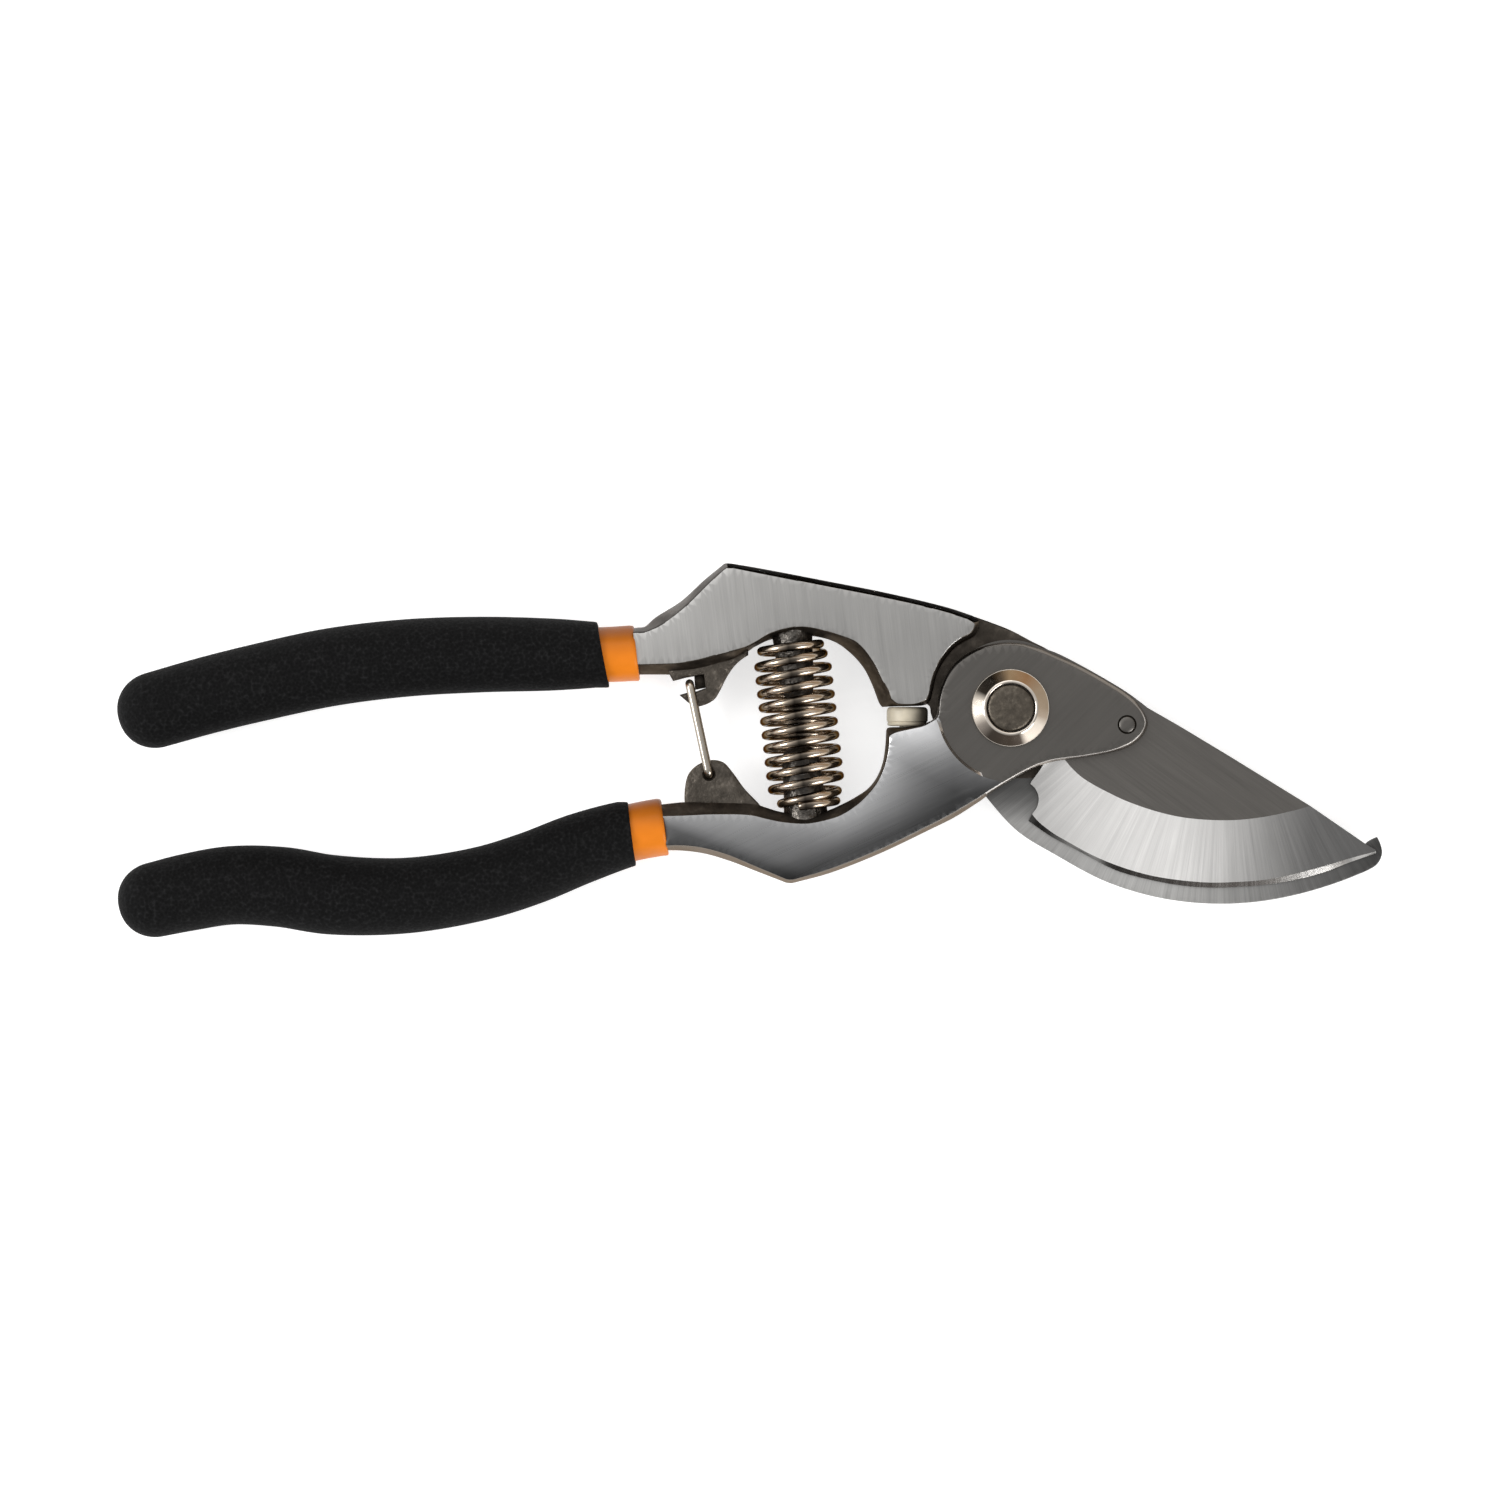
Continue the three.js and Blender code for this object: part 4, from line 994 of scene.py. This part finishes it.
def blade():
    body_columns, tip_columns, rows = 116, 35, 24
    columns = body_columns + tip_columns - 1
    foot = BLADE_BACK + 0.95  # height of the small edge bevel's top
    rim = BLADE_BACK + 0.35  # height left at the cutting edge
    top = np.vstack([resampled(curve(BEVEL_TOP), body_columns), resampled(SPINE_TIP, tip_columns)[1:]])
    micro = resampled(curve(MICRO_TOP), columns)
    edge = resampled(curve(CUTTING_EDGE), columns)
    heel = resampled(np.vstack([curve(HEEL), curve(NOTCH)[1:]]), rows)
    width = np.linalg.norm(top - micro, axis=1)
    last = body_columns - 1
    height = np.where(np.arange(columns) <= last, BLADE_TOP, foot + (BLADE_TOP - foot) * width / width[last])
    pull = np.maximum(0, 1 - 7 * np.linspace(0, 1, columns))[:, None] ** 2
    ground = []
    for k, v in enumerate(np.linspace(0, 1, rows)):
        line = (1 - v) * top + v * micro
        line = line + pull * (heel[k] - line[0])
        ground.append(raised(line, (1 - v) * height + v * foot))
    small = [raised((1 - v) * micro + v * edge, (1 - v) * foot + v * rim) for v in (0, 0.5, 1)]

    angles = np.radians(np.arange(62, 301, 2.5))
    reach = np.interp(np.degrees(angles), (170, 200), (11.95, 10.9))
    tail = np.column_stack([reach * np.cos(angles), reach * np.sin(angles)])
    behind = np.vstack([np.array(SPINE)[1:], curve(BLADE_TOP_EDGE, spacing=1)[1:], tail[1:]])
    flat = np.vstack([ground[0][:body_columns, :2], behind])

    shell = Shell()
    shell.bridge(ground, closed=False)
    shell.bridge(small, closed=False)
    shell.fill(flat, level(BLADE_TOP), 1.6)
    rim_line = joined(
        np.array([row[0] for row in ground]), np.array([row[0] for row in small]), small[-1],
        np.array([row[-1] for row in small[::-1]]), np.array([row[-1] for row in ground[::-1]]),
        ground[0][last:][::-1], raised(behind, BLADE_TOP),
    )
    base = raised(rim_line[:, :2], BLADE_BACK)
    shell.bridge([base, rim_line])
    shell.fill(base, level(BLADE_BACK), 3)
    piece = shell.make("cutting_blade_ground", 4)

    centres, normals = faces_of(piece)
    xy = centres[:, :2]
    up = normals[:, 2] > 0.3
    on_small = inside(xy, np.vstack([micro, edge[::-1]]))
    on_ground = inside(xy, np.vstack([heel, micro, top[::-1]]))
    zone = np.where(up & on_small, 2, np.where(up & on_ground, 1, 0))
    paint(piece, [BLADE_FACE, BLADE_BEVEL, BLADE_EDGE], zone)
    place(piece, "blade_handle", "blade_steel", "cutting_blade")


blade()


# ---------------------------------------------------------------- pivot and rivets

PEEN_TOP = 14.42
RIVET_HEAD_TOP = 2.2
BLADE_RIVET_RADIUS = 1.38


def pivot():
    shell = Shell()
    rise = [
        (4.25, 0), (6.65, 0), (6.78, 0.1), (6.8, 0.6), (6.77, 0.74), (6.7, 0.83), (6.6, 0.91),
        (6.45, 1.022), (5.0, 2.107), (4.82, 2.235), (4.7, 2.3), (4.55, 2.33), (4.4, 2.3), (4.28, 2.2),
        (4.25, 2.0), (4.25, 0),
    ]
    profile = [(radius, COLLAR_BACK + up) for radius, up in rise]
    lathe(shell, profile)
    ring = shell.make("pivot_collar_ring", 50)
    paint(ring, [NICKEL])
    place(ring, "hook_handle", "nickel", "pivot_collar")

    shell = Shell()
    chance = np.random.default_rng(5)
    head = [
        (0.02, 0), (5.6, 0), (5.75, 0.03), (6.45, 0.7), (6.6, 0.95), (6.6, 1.9), (6.5, 2.0), (3.95, 2.0),
        (4.08, 13.9), (4.08, 14.1), (3.85, 14.3),
    ]
    rings = lathe(shell, head, steps=72)
    shell.fan(rings[0], rings[0].mean(0))
    last = rings[-1]
    tops = [last]
    for share in (0.9, 0.75, 0.55, 0.35, 0.18, 0.06):
        ring = last.copy()
        ring[:, :2] *= share
        dents = chance.uniform(-0.06, 0.06, len(ring)) * min(1, share * 1.5)
        ring[:, 2] = PEEN_TOP + 0.12 * (1 - share) + dents
        tops.append(ring)
    shell.bridge(tops)
    shell.fan(tops[-1], tops[-1].mean(0))
    rivet = shell.make("pivot_rivet_peened", 50)
    centres, _ = faces_of(rivet)
    paint(rivet, [PEENED, NICKEL], np.where(centres[:, 2] < RIVET_HEAD_TOP, 1, 0))
    place(rivet, "hook_handle", "rivet_steel", "pivot_rivet")

    shell = Shell()
    bush = [
        (4.25, BACK), (5.3, BACK), (5.4, BACK + 0.1), (5.4, FRONT - 0.1), (5.3, FRONT), (4.25, FRONT),
        (4.25, BACK),
    ]
    lathe(shell, bush, steps=48)
    bushing = shell.make("pivot_bushing_sleeve", 50)
    paint(bushing, [BRONZE])
    place(bushing, "hook_handle", "bushing_bronze", "pivot_bushing")

    shell = Shell()
    radius = BLADE_RIVET_RADIUS
    pin = [
        (0.02, BLADE_BACK), (radius, BLADE_BACK), (radius, FRONT - 0.02), (radius - 0.12, FRONT + 0.08),
        (0.6, FRONT + 0.12), (0.02, FRONT + 0.12),
    ]
    rings = lathe(shell, pin, RIVET, 40)
    shell.fan(rings[0], rings[0].mean(0))
    shell.fan(rings[-1], rings[-1].mean(0))
    pin = shell.make("blade_rivet_head", 40)
    paint(pin, [CARRIER_FACE])
    place(pin, "blade_handle", "rivet_steel", "blade_rivet")

    # Painted shadow: a thin near-black ring laid on the carrier round the blade rivet's head, in place of the
    # shade in the gap round it.
    shell = Shell()
    shadow_ring = [
        (1.36, FRONT - 0.05), (1.62, FRONT - 0.05), (1.66, FRONT + 0.02), (1.36, FRONT + 0.02),
        (1.36, FRONT - 0.05),
    ]
    lathe(shell, shadow_ring, RIVET, 40)
    shadow_ring = shell.make("blade_rivet_shadow_ring", 40)
    paint(shadow_ring, [SHADED_TOP_FLANK])
    place(shadow_ring, "blade_handle", "rivet_steel")


pivot()


# ---------------------------------------------------------------- spring, bumper and latch


def spring():
    wire, steps = 0.775, 44
    axis = SPRING_BOTTOM - SPRING_TOP
    stages = np.array(COIL_STAGES)
    turns = np.linspace(stages[0, 0], stages[-1, 0], int(stages[-1, 0] * steps))
    ease = np.ones(steps // 3) / (steps // 3)
    margin = len(ease) // 2

    def eased(column):
        """A column of the stages along the wire, with its corners rounded."""
        values = np.pad(np.interp(turns, stages[:, 0], stages[:, column]), margin, "edge")
        return np.convolve(values, ease, "same")[margin:][:len(turns)]

    share, reach = eased(1), eased(2)
    across = np.array([-axis[1], axis[0]]) / np.linalg.norm(axis)
    turn = turns * 2 * np.pi
    flat = SPRING_TOP + np.outer(share, axis) + np.outer(reach * np.cos(turn), across)
    path = np.column_stack([flat, MIDDLE + reach * np.sin(turn)])
    shell = Shell()
    tube(shell, path, wire, 14)
    coil = shell.make("return_spring_coil", 60)
    paint(coil, [SPRING_WIRE])
    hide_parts("return_spring")
    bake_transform(coil)


def bumper():
    shell = Shell()
    x, y = -17.9, -3.15
    profile = [
        (0.02, y - 3.4), (1.4, y - 3.4), (1.4, y), (3.0, y), (3.35, y + 0.08), (3.5, y + 0.25),
        (3.52, y + 0.5), (3.4, y + 0.62), (3.4, y + 0.72), (3.58, y + 0.84), (3.62, y + 1.1),
        (3.62, y + 2.6), (3.55, y + 2.95), (3.35, y + 3.22), (3.0, y + 3.34), (0.02, y + 3.38),
    ]
    rings = lathe(shell, profile, (x, 0), 64, axis="Y")
    shell.fan(rings[0], rings[0].mean(0))
    shell.fan(rings[-1], rings[-1].mean(0))
    button = shell.make("bumper_button", 40)
    paint(button, [CREAM])
    place(button, "blade_handle", "cream_nylon", "bumper")


def bent(points, bend):
    """Points along straight runs with round bends at their corners."""
    points = [np.array(p, float) for p in points]
    path = [points[0]]
    for before, corner, after in zip(points, points[1:], points[2:]):
        inward = (before - corner) / np.linalg.norm(before - corner)
        onward = (after - corner) / np.linalg.norm(after - corner)
        for t in np.linspace(0, 1, 12):
            start, end = corner + inward * bend, corner + onward * bend
            path.append((1 - t) ** 2 * start + 2 * t * (1 - t) * corner + t * t * end)
    path.append(points[-1])
    return np.array(path)


def latch():
    spread = 3.05
    low, high = MIDDLE - spread, MIDDLE + spread
    points = [
        (*LATCH_HINGE, MIDDLE - 0.4), (*LATCH_HINGE, low), (*LATCH_BAR, low), (*LATCH_BAR, high),
        (*LATCH_HINGE, high), (*LATCH_HINGE, MIDDLE + 0.4),
    ]
    shell = Shell()
    tube(shell, bent(points, 1.0), LATCH_WIRE, 18)
    bail = shell.make("latch_bail_wire", 60)
    paint(bail, [LATCH_STEEL])
    place(bail, "latch", "nickel", "latch_bail")


spring()
bumper()
latch()


# ---------------------------------------------------------------- grips

# Rows of x, centre y, half width and half depth, from the collar to the palm end.
UPPER_GRIP = [
    (-62, 9.9, 4.9, 6.2), (-70.9, 9.4, 5.65, 6.5), (-79.6, 9.4, 6.3, 6.9), (-92.8, 9.4, 6.65, 7.1),
    (-105.9, 8.8, 6.8, 7.18), (-119, 7.2, 6.85, 7.18), (-132.1, 4.4, 6.8, 7.18), (-141, 2.2, 6.75, 7.1),
    (-149.8, -0.3, 6.7, 6.9),
]
LOWER_GRIP = [
    (-57, -20.2, 5.2, 6.2), (-66.5, -21.9, 5.8, 6.5), (-75.2, -24.6, 6.25, 6.9), (-84, -28.1, 6.4, 7.1),
    (-92.8, -30.8, 6.45, 7.18), (-105.9, -32.9, 6.65, 7.18), (-119, -32.75, 7.0, 7.18),
    (-127.7, -31.4, 7.05, 7.18), (-136.5, -31.1, 6.9, 7.18), (-144, -32.3, 6.8, 7.1),
    (-149.8, -33.6, 6.6, 6.9),
]


def oval_sections(rows, grow, spacing):
    """Centre, across direction, half width and half depth along a bar, with a round far end."""
    line = curve(rows, spacing=spacing)
    along = np.gradient(line[:, :2], axis=0)
    along /= np.linalg.norm(along, axis=1)[:, None]
    sections = [(p[:2], a, p[2] + grow, p[3] + grow) for p, a in zip(line, along)]
    centre, heading, wide, deep = sections[-1]
    for k in range(1, 19):
        angle = math.radians(5 * k)
        shrink = max(math.cos(angle), 0.01) ** 0.92
        sections.append((centre + heading * wide * math.sin(angle), heading, wide * shrink, deep * shrink))
    return sections


def sleeve(name, rows, face, tilt, material, slot, node, body, grow=0.0, lip=0.5):
    """A dipped coat over the tang, cut off square at a slanted face near the collar."""
    place_x, place_y = face
    lean = math.tan(math.radians(tilt))
    sides = 72
    turn = np.linspace(0, 2 * np.pi, sides, endpoint=False)
    sections = oval_sections(rows, grow, 0.9)
    rings = []
    for centre, heading, wide, deep in sections:
        across = np.array([-heading[1], heading[0]])
        flat = centre + np.outer(np.cos(turn) * wide, across)
        ring = np.column_stack([flat, MIDDLE + deep * np.sin(turn)])
        limit = place_x - (ring[:, 1] - place_y) * lean
        if (ring[:, 0] < limit).all():
            rings.append(ring)
    first = rings[0]
    end = first.copy()
    end[:, 0] = place_x - (end[:, 1] - place_y) * lean
    middle = end.mean(0)

    def shrunk(ring, mm, shift):
        out = ring - ring.mean(0)
        size = np.linalg.norm(out, axis=1)[:, None]
        ring = ring.mean(0) + out * (1 - mm / size)
        ring[:, 0] += shift
        return ring

    lip_rings = [shrunk(end, 0.9 * lip + 0.4, 0), shrunk(end, lip * 0.75, 0)]
    lip_rings += [shrunk(end, lip * 0.3, -lip * 0.12), shrunk(end, lip * 0.08, -lip * 0.4)]
    lip_rings.append(shrunk(end, 0, -lip))
    shell = Shell()
    shell.bridge(lip_rings + rings)
    shell.fan(lip_rings[0], middle)
    shell.fan(rings[-1], rings[-1].mean(0))
    piece = shell.make(name, 50)
    paint(piece, [material])
    return place(piece, body, slot, node)


COLLAR_DEPTH = 5.95
TANG_TAPER = 0.8


def tang_rows(rows, half):
    """The orange coat follows the tang under the black one."""
    thinning = np.arange(len(rows) - 1) * TANG_TAPER / (len(rows) - 1)
    return [(x, y, half - thin, COLLAR_DEPTH - thin) for (x, y, _, _), thin in zip(rows, thinning)]


def grips():
    sleeve("upper_grip_coat", UPPER_GRIP, (-71.25, 9.5), 10.6, BLACK, "black_vinyl",
           "upper_grip", "hook_handle")
    sleeve("lower_grip_coat", LOWER_GRIP, (-66.25, -21.7), 7.2, BLACK, "black_vinyl",
           "lower_grip", "blade_handle")
    sleeve("upper_grip_collar", tang_rows(UPPER_GRIP, 4.95), (-65.4, 10.2), 6.5, ORANGE, "orange_vinyl",
           "upper_grip_sleeve", "hook_handle", lip=0.6)
    sleeve("lower_grip_collar", tang_rows(LOWER_GRIP, 5.1), (-60.4, -21.1), 8.2, ORANGE, "orange_vinyl",
           "lower_grip_sleeve", "blade_handle", lip=0.6)


grips()


# ---------------------------------------------------------------- stage, light and camera


def stage():
    mesh = bpy.data.meshes.new("studio_floor")
    half = 3.0
    corners = [(-half, -half, 0), (half, -half, 0), (half, half, 0), (-half, half, 0)]
    mesh.from_pydata(corners, [], [(0, 1, 2, 3)])
    floor = bpy.data.objects.new("studio_floor", mesh)
    floor.location.z = -0.0003
    bpy.context.scene.collection.objects.link(floor)
    n = Material("pale_floor")
    cloud = n.noise(n.scaled((1, 1, 1)), 3, 2)
    shade = n.ramp(cloud, (0.3, (0.71, 0.71, 0.71)), (0.7, (0.73, 0.73, 0.73)))
    mesh.materials.append(n.set(color=shade, rough=0.9, glow=(1.0, 1.0, 1.0), glow_strength=0.6))


def area_light(name, where, target, size, power, color=(1, 1, 1)):
    light = bpy.data.lights.new(name, "AREA")
    light.shape = "RECTANGLE"
    light.size, light.size_y = size
    light.energy = power
    light.color = color
    lamp = bpy.data.objects.new(name, light)
    lamp.location = where
    lamp.rotation_euler = (Vector(target) - Vector(where)).to_track_quat("-Z", "Y").to_euler()
    bpy.context.scene.collection.objects.link(lamp)


# The room's brightness by direction. Walls run once round, from the left through the near side;
# the dome runs from the lower right, over the top, to the upper left.
WORLD_STRENGTH = 2.0
PALE = (0.92, 0.92, 0.92)
WALLS = [
    (0.0, (1.6, 1.6, 1.6)), (0.04, (1.3, 1.28, 1.25)), (0.083, (0.43, 0.41, 0.40)),
    (0.15, (0.075, 0.067, 0.062)), (0.25, (0.095, 0.08, 0.07)), (0.305, (0.15, 0.13, 0.12)),
    (0.335, (1.6, 1.55, 1.5)), (0.42, (1.4, 1.38, 1.34)), (0.46, (0.7, 0.62, 0.54)),
    (0.5, (0.53, 0.45, 0.36)), (0.583, (0.52, 0.43, 0.33)), (0.667, (0.42, 0.255, 0.14)),
    (0.75, (0.44, 0.33, 0.21)), (0.79, (0.12, 0.09, 0.06)), (0.833, (0.01, 0.008, 0.006)),
    (0.917, (0.05, 0.045, 0.04)), (0.96, (1.2, 1.18, 1.15)), (1.0, (1.6, 1.6, 1.6)),
]
DOME = [
    (0.0, (0.35, 0.35, 0.35)), (0.25, (0.45, 0.45, 0.45)), (0.375, (0.62, 0.62, 0.62)),
    (0.5, (0.76, 0.76, 0.76)), (0.625, (1.0, 1.0, 1.0)), (0.75, (1.6, 1.6, 1.6)),
    (1.0, (0.9, 0.9, 0.9)),
]
DOME_LEAN = (-0.55, 0.83, 0)
FLOOR_TO_WALLS = (0.10, 0.17)  # heights, as sines, between which one pattern gives way to the next
WALLS_TO_DOME = (0.40, 0.62)


def dimmed(stops):
    """Ramp colours divided by the world's strength, which multiplies them again."""
    return [(at, tinted(color, 1 / WORLD_STRENGTH)) for at, color in stops]


def lights():
    world = bpy.data.worlds.new("studio")
    bpy.context.scene.world = world
    n = Nodes(world, "BACKGROUND", "Generated")
    split = n.new("ShaderNodeSeparateXYZ")
    n.link(n.places, split.inputs[0])
    turn = n.maths("ARCTAN2", split.outputs[1], split.outputs[0])
    walls = n.ramp(n.mapped(turn, -math.pi, math.pi), *dimmed(WALLS))
    dome = n.ramp(n.mapped(n.dot(n.places, DOME_LEAN), -1, 1), *dimmed(DOME))
    height = split.outputs[2]
    upper = n.mix(n.mapped(height, *WALLS_TO_DOME), walls, dome)
    pale = tinted(PALE, 1 / WORLD_STRENGTH)
    n.link(n.mix(n.mapped(height, *FLOOR_TO_WALLS), pale, upper), n.shader.inputs["Color"])
    n.shader.inputs["Strength"].default_value = WORLD_STRENGTH
    area_light("left_softbox", (-0.95, 0.0, 0.62), (-0.04, 0, 0), (0.5, 0.4), 5.5)
    area_light("right_softbox", (0.6, -0.68, 0.62), (-0.04, 0, 0), (0.5, 0.4), 5.5)
    area_light("back_softbox", (-0.25, 0.95, 0.75), (-0.04, 0, 0), (0.7, 0.3), 0.8)


def camera():
    lens = bpy.data.cameras.new("product_camera")
    lens.lens = 150
    lens.sensor_width = 36
    lens.clip_end = 20
    view = bpy.data.objects.new("product_camera", lens)
    width = 0.2625
    distance_up = width * lens.lens / lens.sensor_width
    view.location = (-0.0455, -0.00735, 0.0105 + distance_up)
    bpy.context.scene.collection.objects.link(view)
    bpy.context.scene.camera = view
    bpy.context.scene.view_settings.view_transform = "Standard"


stage()
lights()
camera()
